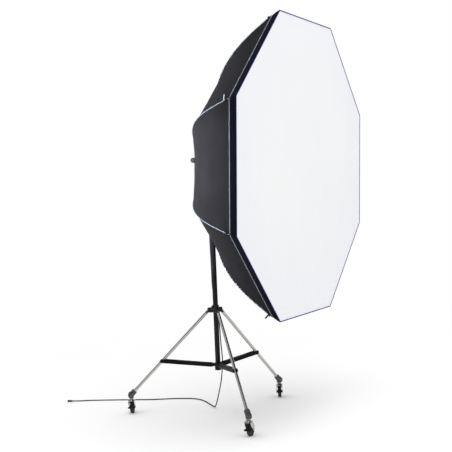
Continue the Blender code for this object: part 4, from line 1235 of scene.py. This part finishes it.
def build_hub():
    """The sliding collar, its three forked ears with their pins, and its small lock knob."""
    shapes = [rod_shape(0.0212, HUB_PIVOT_Z - 0.0155, HUB_PIVOT_Z + 0.0315, 64)]
    holes = [rod_shape(COLUMN_RADIUS + GAP, 0.6, 0.8, 64)]
    outline = ((0.016, -0.0155), (0.0495, -0.0155), (0.0525, -0.0125), (0.0525, 0.0125),
               (0.0495, 0.0155), (0.016, 0.0155))
    for name in LEG_NAMES:
        turn = about(bearing(f"{name}_leg_fold"), "Z") @ at(0, 0, HUB_PIVOT_Z)
        shapes += [moved(cheek, turn) for cheek in cheeks(outline, 0.0048, 0.0105, "Y")]
        slot = prism(((0.0238, -0.03), (0.06, -0.03), (0.06, 0.03), (0.0238, 0.03)), -0.0048, 0.0048, "Y")
        holes.append(moved(slot, turn))
        pin_place = STAND_FRAME @ turn @ at(HUB_PIVOT_R, 0, 0) @ ABOUT_Y
        pin = merge(
            rod_shape(BOLT_RADIUS, -0.0108, 0.0108),
            moved(screw_head(0.0056, 0.0022), at(0, 0, 0.0104)),
            moved(screw_head(0.0056, 0.0022), at(0, 0, -0.0104) @ about(pi, "X")),
        )
        piece(f"{name}_hub_pin", pin, "painted", "hub", "black_plastic", pin_place, sharp=40.0)
    knob_place = Matrix.Translation(Vector(JOINTS["hub_knob_turn"]["pos_m"]))
    knob_axis = Vector(JOINTS["hub_knob_turn"]["axis"])
    knob_turn = about(atan2(knob_axis.y, knob_axis.x), "Z") @ ABOUT_X
    height = JOINTS["hub_knob_turn"]["pos_m"][2]
    holes.append(moved(rod_shape(0.0028, 0.01, 0.05, 24), at(0, 0, height) @ knob_turn))
    piece("hub", cast(shapes, holes, 0.001), "plastic", "hub", "black_plastic", STAND_FRAME, ("hub_collar",),
          sharp=40.0)
    knob = knob_shape(0.0165, 0.0025, 0.0216, 0.007)
    piece("hub_knob", knob, "grip", "hub_knob", "black_plastic", knob_place @ knob_turn, ("hub_lock_knob",))


def build_lower_collar():
    bottom = COLUMN_BOTTOM - 0.0158
    top = BRACE_PIVOT_Z + 0.0142
    barrel = ((0.0, bottom), (0.019, bottom), (0.0205, bottom + 0.002), (0.0205, top), (0.0, top))
    shapes = [turned(barrel, 64)]
    holes = [rod_shape(COLUMN_RADIUS + GAP, COLUMN_BOTTOM - GAP, 0.4, 64)]
    for name in LEG_NAMES:
        turn = about(bearing(f"{name}_leg_fold"), "Z") @ at(0, 0, BRACE_PIVOT_Z)
        lug = arc((BRACE_PIVOT_R, 0.0), 0.0095, -90, 90, 16) + [(0.016, 0.0095), (0.016, -0.0095)]
        shapes.append(moved(prism(lug, -0.01, 0.01, "Y"), turn))
        holes.append(bolt_bore(turn @ at(BRACE_PIVOT_R, 0, 0) @ ABOUT_Y))
    piece("lower_hub", cast(shapes, holes, 0.001), "plastic", "root", "black_plastic", STAND_FRAME,
          ("lower_collar",), sharp=40.0)
    screw("lower_hub_screw", 0.005, 0.0016, "steel", "root", "black_plastic",
          STAND_FRAME @ at(0, 0, bottom + 0.0004) @ about(pi, "X"))


# ---------------------------------------------------------------- legs and braces
def build_leg(name):
    """The tube, its eye and its foot; the origin is on the hub pivot and -Z runs down the leg."""
    body = f"{name}_leg"
    azimuth = bearing(f"{name}_leg_fold")
    place = STAND_FRAME @ about(azimuth, "Z") @ at(HUB_PIVOT_R, 0, HUB_PIVOT_Z) @ about(-LEG_ANGLE, "Y")
    tube = soft_tube(0.0085, LEG_RADIUS, 0.0185 - LEG_REACH, -0.024, 56)
    piece(f"{name}_leg_tube", tube, "chrome", body, "chrome", place, (f"{name}_leg",))
    eye_outline = arc((0.0, 0.0), 0.008, 0, 180, 20) + [(-0.008, -0.0285), (0.008, -0.0285)]
    neck = turned(((0.0, -0.032), (0.0084, -0.032), (0.0084, -0.0238), (LEG_RADIUS, -0.0236),
                   (LEG_RADIUS, -0.0222), (0.007, -0.018), (0.0, -0.018)), 48)
    eye = cast([prism(eye_outline, -0.0045, 0.0045, "Y"), neck], [bolt_bore(ABOUT_Y)], 0.0006)
    piece(f"{name}_leg_eye", eye, "casting", body, "chrome", place, sharp=40.0)

    foot_place = place @ at(0, 0, -LEG_REACH)
    upright = about(LEG_ANGLE, "Y")
    boss = turned(((0.0, -0.0215), (0.0145, -0.0215), (0.0165, -0.019), (0.0168, 0.012),
                   (0.013, 0.019), (0.0, 0.019)), 48)
    socket = turned(((0.0, -0.008), (0.0178, -0.008), (0.0178, 0.0345), (0.0158, 0.037),
                     (0.0, 0.037)), 48)
    web = block((-0.005, -0.0165, -0.015), (0.016, 0.0165, 0.01))
    foot = cast(
        [moved(boss, upright), socket, moved(web, upright)],
        [
            rod_shape(LEG_RADIUS + GAP, 0.018, 0.08, 48),
            moved(rod_shape(0.006, -0.05, 0.0125, 32), upright),
        ],
        0.0009,
    )
    piece(f"{name}_foot_casting", foot, "casting", body, "grey_casting", foot_place, (f"{name}_foot",),
          sharp=40.0)
    for side in (-1, 1):
        turn = at(0, 0.0172 * side, 0.0255) @ about(-side * pi / 2, "X")
        screw(f"{name}_foot_screw_{side}", 0.0034, 0.0014, "painted", body, "grey_casting", foot_place @ turn)


def build_brace(name):
    """The channel keeps its CAD shape; its bolts get proper heads."""
    repaint(f"{name}_brace", "painted", 0.0006)
    azimuth = bearing(f"{name}_leg_fold")
    rise = atan2(LINK_Z - BRACE_PIVOT_Z, LINK_R - BRACE_PIVOT_R)
    length = sqrt((LINK_Z - BRACE_PIVOT_Z) ** 2 + (LINK_R - BRACE_PIVOT_R) ** 2)
    place = STAND_FRAME @ about(azimuth, "Z") @ at(BRACE_PIVOT_R, 0, BRACE_PIVOT_Z) @ about(-rise, "Y")
    for end, reach in (("inner", 0.0), ("outer", length)):
        for side in (-1, 1):
            head = merge(
                turned(((0.0, 0.0129), (0.0086, 0.0129), (0.0086, 0.0137), (0.0, 0.0137)), 32),
                moved(screw_head(0.0068, 0.0024), at(0, 0, 0.0136)),
            )
            turn = at(reach, 0, 0) @ about(-side * pi / 2, "X")
            piece(f"{name}_{end}_bolt_{side}", head, "painted", f"{name}_brace", "black_steel", place @ turn,
                  sharp=40.0)


# ---------------------------------------------------------------- casters
def build_caster(name):
    """The dome and fork; the origin is on the floor under the stem and +X points to the wheel."""
    stem = Vector(JOINTS[f"{name}_caster_swivel"]["pos_m"])
    axle = Vector(JOINTS[f"{name}_wheel_spin"]["pos_m"])
    trail = axle - stem
    place = at(stem.x, stem.y, 0) @ about(atan2(trail.y, trail.x), "Z")

    dome = turned(
        (
            (0.0, 0.136), (0.005, 0.136), (0.0055, 0.1354), (0.0055, 0.1036), (0.0096, 0.1034),
            (0.01, 0.1028), (0.01, 0.1002), (0.0096, 0.0996), (0.0118, 0.099), (0.015, 0.0974),
            (0.018, 0.095), (0.0203, 0.0922), (0.0218, 0.0892), (0.0226, 0.0862), (0.0228, 0.0846),
            (0.0222, 0.084), (0.0208, 0.0846), (0.02, 0.087), (0.0188, 0.0888), (0.0, 0.089),
        ),
        72,
    )
    outline = [(-0.0185, 0.0905), (0.0205, 0.0905), (0.024, 0.08), (0.0272, 0.069)]
    outline += arc((TRAIL, WHEEL_RADIUS), 0.0095, 20, -160, 18)
    outline += [(0.008, 0.05), (-0.006, 0.06), (-0.015, 0.074)]
    hexagon = [(0.0064 * cos(i * pi / 3), 0.0064 * sin(i * pi / 3)) for i in range(6)]
    nut = [(TRAIL + u, WHEEL_RADIUS + v) for u, v in hexagon]
    parts = [dome, *cheeks(outline, 0.018, 0.0205, "Y"), *cheeks(nut, 0.02, 0.0225, "Y")]
    for side in (-1, 1):
        washer = turned(((0.0041, 0.0), (0.008, 0.0), (0.008, 0.0008), (0.0041, 0.0008)), 32)
        spot = at(TRAIL, 0.0204 * side, WHEEL_RADIUS) @ about(-side * pi / 2, "X")
        parts.append(moved(washer, spot))
    axle_place = at(TRAIL, 0, WHEEL_RADIUS) @ ABOUT_Y
    parts.append(moved(rod_shape(BOLT_RADIUS, -0.0222, 0.0222, 24), axle_place))
    piece(f"{name}_caster_fork", merge(*parts), "chrome", f"{name}_caster", "chrome", place,
          (f"{name}_fork",), bevel=0.0005)
    build_wheel(name, place @ axle_place)
    build_pedal(name, place)


def both_faces(half):
    """A wheel's profile from that of its upper half."""
    return [(radius, -level) for radius, level in half] + list(reversed(half))


def build_wheel(name, place):
    """A moulded wheel with ribbed faces, and a tyre with two grooves."""
    body = f"{name}_wheel"
    half = [(0.0296, 0.0095), (0.0302, 0.0116), (0.0316, 0.012), (0.0364, 0.0118), (0.0384, 0.0108),
            (0.0396, 0.009), (0.04, 0.0062), (0.04, 0.005), (0.0394, 0.0047), (0.0394, 0.0041),
            (0.04, 0.0038)]
    piece(f"{name}_tyre", turned(both_faces(half), 96), "tyre", body, "tyre", place, (f"{name}_wheel",),
          sharp=45.0)

    half = [(0.0043, 0.0155), (0.008, 0.0155), (0.009, 0.0146), (0.0098, 0.009), (0.0112, 0.007),
            (0.0262, 0.007), (0.0276, 0.0088), (0.0297, 0.0092)]
    shapes = [turned(both_faces(half), 72)]
    rib = ((0.0092, -0.0011), (0.0275, -0.0011), (0.0275, 0.0011), (0.0092, 0.0011))
    for i in range(8):
        shapes += [moved(cheek, about(2 * pi * i / 8, "Z")) for cheek in cheeks(rib, 0.006, 0.0086)]
    piece(f"{name}_wheel_centre", merge(*shapes), "wheel", body, "tyre", place, bevel=0.0003)


def build_pedal(name, place):
    """The brake pedal: a barrel on its hinge and a waisted plate that ends in two ridged toe tabs."""
    hinge = place @ at(-0.011, 0, 0.076)
    half = [(0.0085, -0.0005), (0.0082, -0.01), (0.009, -0.019), (0.013, -0.0245), (0.019, -0.0295),
            (0.0228, -0.033), (0.0236, -0.035), (0.023, -0.037), (0.019, -0.039), (0.0145, -0.04),
            (0.006, -0.0392)]
    outline = half + [(-x, y) for x, y in reversed(half)]
    lean = about(-pi / 2, "Z") @ about(radians(70.0), "X")
    parts = [moved(prism(outline, -0.0015, 0.0015), lean)]
    for x in (-0.0185, -0.015, 0.015, 0.0185):
        ridge = block((x - 0.0007, -0.0385, 0.0012), (x + 0.0007, -0.0315, 0.0022))
        parts.append(moved(ridge, lean))
    parts.append(moved(rod_shape(0.004, -0.0175, 0.0175), ABOUT_Y))
    piece(f"{name}_pedal", merge(*parts), "plastic", f"{name}_pedal", "pedal_black", hinge,
          (f"{name}_brake_pedal",), bevel=0.0005)


# ---------------------------------------------------------------- flash head
def build_casing():
    """The ribbed, vented casing, the lug under it and the bayonet flange with its screws."""
    inner = CASING_RADIUS - 0.0025
    profile = [(inner, CASING_FRONT), (0.058, CASING_FRONT), (0.0604, CASING_FRONT + 0.0018),
               (CASING_RADIUS, CASING_FRONT + 0.006)]
    for start in (-0.042, 0.058):
        profile += [(CASING_RADIUS, start), (CASING_RADIUS - 0.0008, start + 0.0006),
                    (CASING_RADIUS - 0.0008, start + 0.002), (CASING_RADIUS, start + 0.0026)]
    profile += [(CASING_RADIUS, CASING_BACK - 0.008), (0.0614, CASING_BACK - 0.0045),
                (0.0599, CASING_BACK - 0.0008), (inner, CASING_BACK)]
    slots = []
    for i in range(9):
        for side in (-1, 1):
            turn = pi / 2 + side * radians(14.0 + 8.0 * i)
            slots.append(moved(block((0.05, -0.0012, 0.016), (0.07, 0.0012, 0.046)), about(turn, "Z")))
    casing = cast([turned(profile, 112)], slots)
    piece("casing", casing, "head", "head", "head_shell", LAMP_FRAME, ("head_casing",), sharp=32.0)
    lug_outline = arc((0.0, 0.0), 0.016, 180, 360, 28) + [(0.016, 0.0298), (-0.016, 0.0298)]
    lug = cast([prism(lug_outline, -0.0112, 0.0112, "X")], [bolt_bore(ABOUT_X)], 0.0008, 2)
    piece("casing_lug", lug, "head", "head", "head_shell", HEAD_FRAME, sharp=40.0)

    profile = [(radius, CASING_FRONT - ahead) for radius, ahead in (
        (0.048, 0.0205), (0.065, 0.0205), (0.066, 0.0195), (0.066, 0.0058), (0.0772, 0.0058),
        (0.078, 0.005), (0.078, 0.001), (0.0774, GAP), (0.048, GAP))]
    piece("flange", turned(profile, 96), "aluminium", "head", "satin_aluminium", LAMP_FRAME,
          ("bayonet_flange",))
    for i in range(6):
        turn = about(2 * pi * i / 6 + 0.3, "Z") @ at(0.072, 0, CASING_FRONT - 0.006) @ about(pi, "X")
        screw(f"flange_screw_{i + 1}", 0.0026, 0.0013, "steel", "head", "satin_aluminium", LAMP_FRAME @ turn)


def build_lamp():
    """The lamp plate, the ring tube on its feet, the glass dome and the capacitor bank."""
    plate = CASING_FRONT - 0.01
    disc = turned(((0.0, plate - 0.004), (0.0462, plate - 0.004), (0.047, plate - 0.0034),
                   (0.047, plate - 0.0006), (0.0464, plate), (0.0, plate)), 72)
    piece("lamp_disc", disc, "aluminium", "head", "satin_aluminium", LAMP_FRAME, ("lamp_plate",))
    turns = [2 * pi * i / 64 for i in range(64)]
    ring = [(FLASH_RING * cos(a), FLASH_RING * sin(a), plate - 0.02) for a in turns]
    feet = [moved(rod_shape(0.0022, plate - 0.019, plate - 0.0043, 20), at(FLASH_RING * side, 0, 0))
            for side in (-1, 1)]
    tube = merge(sweep(ring, 0.004, 16, closed_loop=True), *feet)
    piece("ring_flash", tube, "glass", "head", "glass", LAMP_FRAME, ("flash_tube",))
    profile = []
    for i in range(13):
        angle = pi / 2 * i / 12
        profile.append((0.038 * sin(angle), -0.018 - 0.02 * cos(angle)))
    profile += [(0.038, -GAP), (0.0365, -GAP)]
    for i in range(13):
        angle = pi / 2 * (1 - i / 12)
        profile.append((0.0365 * sin(angle), -0.018 - 0.0185 * cos(angle)))
    profile[0] = (0.0, profile[0][1])
    profile[-1] = (0.0, profile[-1][1])
    piece("lamp_dome", turned(profile, 72), "glass", "head", "glass", LAMP_FRAME @ at(0, 0, plate - 0.004),
          ("glass_dome",))
    bank = turned(((0.0, 0.0), (0.0225, 0.0), (0.024, 0.0015), (0.024, 0.0575), (0.0225, 0.059),
                   (0.0232, 0.06), (0.022, 0.062), (0.0, 0.062)), 56)
    place = HEAD_FRAME @ at(0.018, -0.03, AXIS_ABOVE_PIVOT - 0.008) @ BACKWARDS
    piece("capacitor", bank, "tube", "head", "satin_aluminium", place, ("capacitor_bank",))


def build_controls():
    """The rear panel's screws, printed marks, button, rocker and dial, and the cord's strain relief."""
    repaint("head_rear_panel", "head", 0.0003)
    face = HEAD_FRAME @ at(0, PANEL_FACE, AXIS_ABOVE_PIVOT)
    for i in range(4):
        turn = about(pi / 4 + pi / 2 * i, "Y") @ at(0.051, -0.0001, 0) @ BACKWARDS
        screw(f"panel_screw_{i + 1}", 0.0026, 0.0012, "painted", "head", "head_shell", face @ turn)

    # pale marks round the dial and beside the button and the switch
    dial = face @ at(-0.012, 0, 0.024)
    marks = []
    for i in range(11):
        turn = radians(-135.0 + 27.0 * i)
        mark = block((-0.0004, 0.0, 0.0162), (0.0004, 0.00025, 0.0186 if i % 5 else 0.0196))
        marks.append(moved(mark, about(turn, "Y")))
    piece("dial_marks", merge(*marks), "ink", "head", "head_shell", dial)
    switch = face @ at(-0.026, 0, -0.012)
    marks = [block((x, 0.0, -0.011), (x + 0.0004, 0.0002, 0.011)) for x in (-0.0078, 0.0074)]
    marks += [block((-0.0078, 0.0, z), (0.0078, 0.0002, z + 0.0004)) for z in (-0.011, 0.0106)]
    piece("switch_frame_mark", merge(*marks), "ink", "head", "head_shell", switch)
    button = face @ at(0.022, 0, 0.018)
    ring = turned(((0.0062, 0.0), (0.0068, 0.0), (0.0068, 0.0002), (0.0062, 0.0002)), 48)
    piece("button_ring_mark", ring, "ink", "head", "head_shell", button @ BACKWARDS)

    profile = ((0.0, -0.006), (0.0044, -0.006), (0.0044, 0.0034), (0.0041, 0.0041), (0.0034, 0.0045),
               (0.0, 0.0043))
    piece("green_button", turned(profile, 40), "green", "button", "test_button", button @ BACKWARDS,
          ("test_button",))
    rocker = [(-0.0045, -0.009), (0.0005, -0.009), (0.0036, -0.0087), (0.004, -0.008), (0.0029, -0.004),
              (0.002, 0.0), (0.0014, 0.0045), (0.001, 0.0084), (0.0005, 0.009), (-0.0045, 0.009)]
    shape = prism(rocker, -0.006, 0.006, "X")
    piece("rocker", shape, "red", "switch", "black_plastic", switch, ("power_switch",), bevel=0.0004)

    rows = ((0.0145, GAP, 0), (0.0145, 0.0022, 0), (0.0138, 0.003, 0), (0.0124, 0.0035, 1),
            (0.0117, 0.0076, 1), (0.011, 0.0087, 0), (0.01, 0.009, 0))
    knob = lobed(rows, 120, 24, 0.035)
    piece("dial_knob", knob, "plastic", "dial", "black_plastic", dial @ BACKWARDS, ("power_dial",))
    pointer = block((-0.0005, 0.0089, 0.003), (0.0005, 0.0092, 0.01))
    piece("dial_pointer", pointer, "ink", "dial", "black_plastic", dial)

    relief = [(0.0, GAP), (0.0082, GAP), (0.0085, 0.0007), (0.0085, 0.0036), (0.0078, 0.0046),
              (0.0062, 0.006)]
    for i in range(7):
        start = 0.0074 + 0.0031 * i
        reach = 0.0062 - 0.0016 * i / 6
        relief += [(reach, start), (reach, start + 0.0015), (reach - 0.0009, start + 0.0018),
                   (reach - 0.0009, start + 0.0027)]
    relief += [(0.0046, 0.0292), (0.004, 0.03), (0.0, 0.03)]
    place = HEAD_FRAME @ at(0, 0.055, AXIS_ABOVE_PIVOT - CASING_RADIUS) @ about(pi, "X")
    piece("cord_relief", turned(relief, 40), "grip", "head", "black_plastic", place, ("strain_relief",),
          sharp=50.0)


def build_handle():
    """A ribbed rubber grip between two arms."""
    profile = [(0.0, -0.05), (0.01, -0.05), (0.014, -0.0478), (0.0152, -0.045), (0.016, -0.041)]
    for i in range(15):
        rib = -0.038 + 0.0052 * i
        profile += [(0.0165, rib), (0.0165, rib + 0.0034), (0.0157, rib + 0.0038), (0.0157, rib + 0.0048)]
    profile += [(0.0165, 0.04), (0.016, 0.0418), (0.015, 0.0462), (0.0132, 0.0484), (0.01, 0.05),
                (0.0, 0.05)]
    place = HEAD_FRAME @ at(0, 0.1035, AXIS_ABOVE_PIVOT + 0.0556)
    piece("handle_grip", turned(profile, 64), "grip", "head", "black_plastic", place @ ABOUT_X,
          ("rear_handle",), sharp=40.0)
    for side in (-1, 1):
        arm = block((-0.005, -0.066, -0.0075), (0.005, -0.008, 0.0075))
        piece(f"handle_arm_{side}", arm, "head", "head", "black_plastic", place @ at(0.04 * side, 0, 0.0036),
              bevel=0.0016)


def build_bracket():
    """The yoke with its two ears, the tilt lever on its bolt, the clamp knob and the cord clip."""
    low, shoulder = 1.365, 1.436
    body = turned(((0.0, low), (0.0195, low), (0.021, low + 0.002), (0.021, shoulder - 0.002),
                   (0.019, shoulder), (0.0, shoulder)), 64)
    root = shoulder - 0.012
    outline = arc((0.0, PIVOT.z), 0.016, 0, 180, 28) + [(-0.016, root), (0.016, root)]
    holes = [
        rod_shape(SPIGOT_RADIUS + GAP, 1.3, 1.427, 48),
        bolt_bore(at(0, 0, PIVOT.z) @ ABOUT_X),
        moved(rod_shape(THREAD_BORE, 0.0, 0.03, 24), at(0, 0, CLAMP_Z) @ ABOUT_X),
    ]
    yoke = cast([body, *cheeks(outline, 0.0115, 0.019, "X")], holes, 0.001, 2)
    piece("yoke", yoke, "bracket", "bracket", "bracket_metal", STAND_FRAME, ("tilt_bracket",), sharp=40.0)

    bolt = turned(((0.0, -0.0235), (0.0064, -0.0235), (0.007, -0.0229), (0.007, -0.0193),
                   (BOLT_RADIUS, -0.0193), (BOLT_RADIUS, 0.0193), (0.011, 0.0193), (0.011, 0.028),
                   (0.01, 0.029), (0.0, 0.029)), 48)
    half = [(0.0062, -0.02), (0.0072, -0.048), (0.0075, -0.0552), (0.0062, -0.06), (0.0034, -0.0622)]
    arm = [(-0.006, 0.0), (0.006, 0.0), *half, (0.0, -0.063), *((-x, y) for x, y in reversed(half))]
    lever = merge(moved(bolt, ABOUT_X), prism(arm, 0.0215, 0.028, "X"))
    piece("lever", lever, "plastic", "tilt_clamp", "black_plastic", STAND_FRAME @ at(0, 0, PIVOT.z),
          ("tilt_lever",), bevel=0.001)

    place = STAND_FRAME @ at(0, 0, CLAMP_Z) @ ABOUT_X
    knob = knob_shape(0.0088, 0.003, 0.0218, 0.0125)
    piece("clamp_knob", knob, "grip", "spigot_knob", "black_plastic", place, ("spigot_clamp_knob",))

    x, y = HEAD_CORD[-1][:2]
    clip = block((x - 0.0065, 0.0213, 1.3945), (x + 0.0065, y + 0.006, 1.4135))
    piece("cord_clip", clip, "plastic", "bracket", "black_plastic", STAND_FRAME, ("bracket_cord_clip",),
          bevel=0.0012)


def build_speed_ring():
    """The turned ring, its eight rod sockets and their screws; the rods keep their CAD shapes."""
    place = SOFTBOX_FRAME @ at(0, BACK_DEPTH - 0.008, 0) @ BACKWARDS
    profile = ((0.068, -0.009), (0.0902, -0.009), (0.093, -0.007), (0.094, -0.0055), (0.094, 0.0085),
               (0.093, 0.01), (0.0905, 0.011), (0.069, 0.011), (0.068, 0.01))
    shapes = [turned(profile, 112)]
    for k in range(BOX_SIDES):
        socket = block((0.0915, -0.007, -0.0065), (0.116, 0.007, 0.0065))
        shapes.append(moved(socket, about(corner_angle(k), "Z")))
    piece("rod_ring", merge(*shapes), "aluminium", "softbox", "satin_aluminium", place, ("speed_ring",),
          bevel=0.0006)
    for k in range(BOX_SIDES):
        turn = about(corner_angle(k), "Z") @ at(0.106, 0, 0.0064)
        screw(f"socket_screw_{k + 1}", 0.003, 0.0016, "steel", "softbox", "satin_aluminium", place @ turn)
        repaint(f"rod_{k + 1}", "rod")


# ---------------------------------------------------------------- stage
def add_stage():
    """A pale floor that fades into plain white a few metres away."""
    floor_mesh = bpy.data.meshes.new("studio_floor")
    shape = bmesh.new()
    bmesh.ops.create_circle(shape, cap_ends=True, segments=96, radius=FLOOR_RADIUS)
    shape.to_mesh(floor_mesh)
    shape.free()
    floor = show("studio_floor", floor_mesh)
    floor.location = (0.0, 0.0, -0.0002)
    s = Shader("studio_floor")
    shade = s.mix(s.noise(0.7, 3.0), rgb(0.94, 0.94, 0.94), rgb(0.96, 0.96, 0.96))
    x, y, _ = s.split(s.coords())
    far = s.between(s.reach(x, y), 1.2, 4.5)
    s.link("Base Color", s.mix(far, shade, rgb(0.0, 0.0, 0.0)))
    s.out.inputs["Emission Color"].default_value = rgb(1.0, 1.0, 1.0)
    s.link("Emission Strength", far)
    s.set(rough=0.8, specular=0.0)
    floor_mesh.materials.append(s.made)


def add_light(name, size, place, target, power, spread=180.0, in_reflections=True):
    data = bpy.data.lights.new(name, "AREA")
    data.shape = "RECTANGLE"
    data.size, data.size_y = size
    data.energy = power
    data.spread = radians(spread)
    light = show(name, data)
    light.visible_glossy = in_reflections
    away = Vector(target) - Vector(place)
    light.matrix_world = Matrix.Translation(place) @ away.to_track_quat("-Z", "Y").to_matrix().to_4x4()


def add_world():
    """A white studio; two dark flags, seen only in reflections, draw the edges of the chrome."""
    world = bpy.data.worlds.new("studio")
    bpy.context.scene.world = world
    world.use_nodes = True
    n = Nodes(world.node_tree)
    x, y, _ = n.split(n.coords("Generated"))
    heading = n.math("ARCTAN2", y, x)
    masks = []
    for centre, half in FLAGS:
        away = n.math("ABSOLUTE", n.math("SUBTRACT", heading, centre))
        masks.append(n.between(away, half, half + FLAG_EDGE, FLAG_LIGHT, GLOSS_LIGHT))
    rays = n.node("ShaderNodeLightPath").outputs
    level = n.between(rays["Is Glossy Ray"], 0.0, 1.0, 1.0, n.math("MINIMUM", *masks))
    scaled = n.times(level, WORLD_LIGHT)
    back = n.tree.nodes["Background"]
    n.plug(back.inputs["Strength"], n.between(rays["Is Camera Ray"], 0.0, 1.0, scaled, 1.0))
    back.inputs["Color"].default_value = (1.0, 1.0, 1.0, 1.0)


def main():
    add_camera()
    add_stage()
    add_world()
    add_light("overhead", (4.0, 4.0), (-1.6, -1.4, 5.0), (-1.2, -1.0, 0.0), 72.0)
    add_light("key", (0.8, 0.6), (-4.4, 1.2, 1.55), (-0.75, 0.25, 1.55), 42.0, 26.0, False)
    bpy.context.scene.view_settings.view_transform = "Standard"

    build_cords()
    build_cover()
    build_piping()
    build_seam_stitches()
    build_lip()
    build_diffusers()
    build_corner_details()
    build_back_collar()
    build_speed_ring()

    build_casing()
    build_lamp()
    build_controls()
    build_handle()
    build_bracket()

    build_column()
    build_hub()
    build_lower_collar()
    for name in LEG_NAMES:
        build_leg(name)
        build_brace(name)
        build_caster(name)


main()
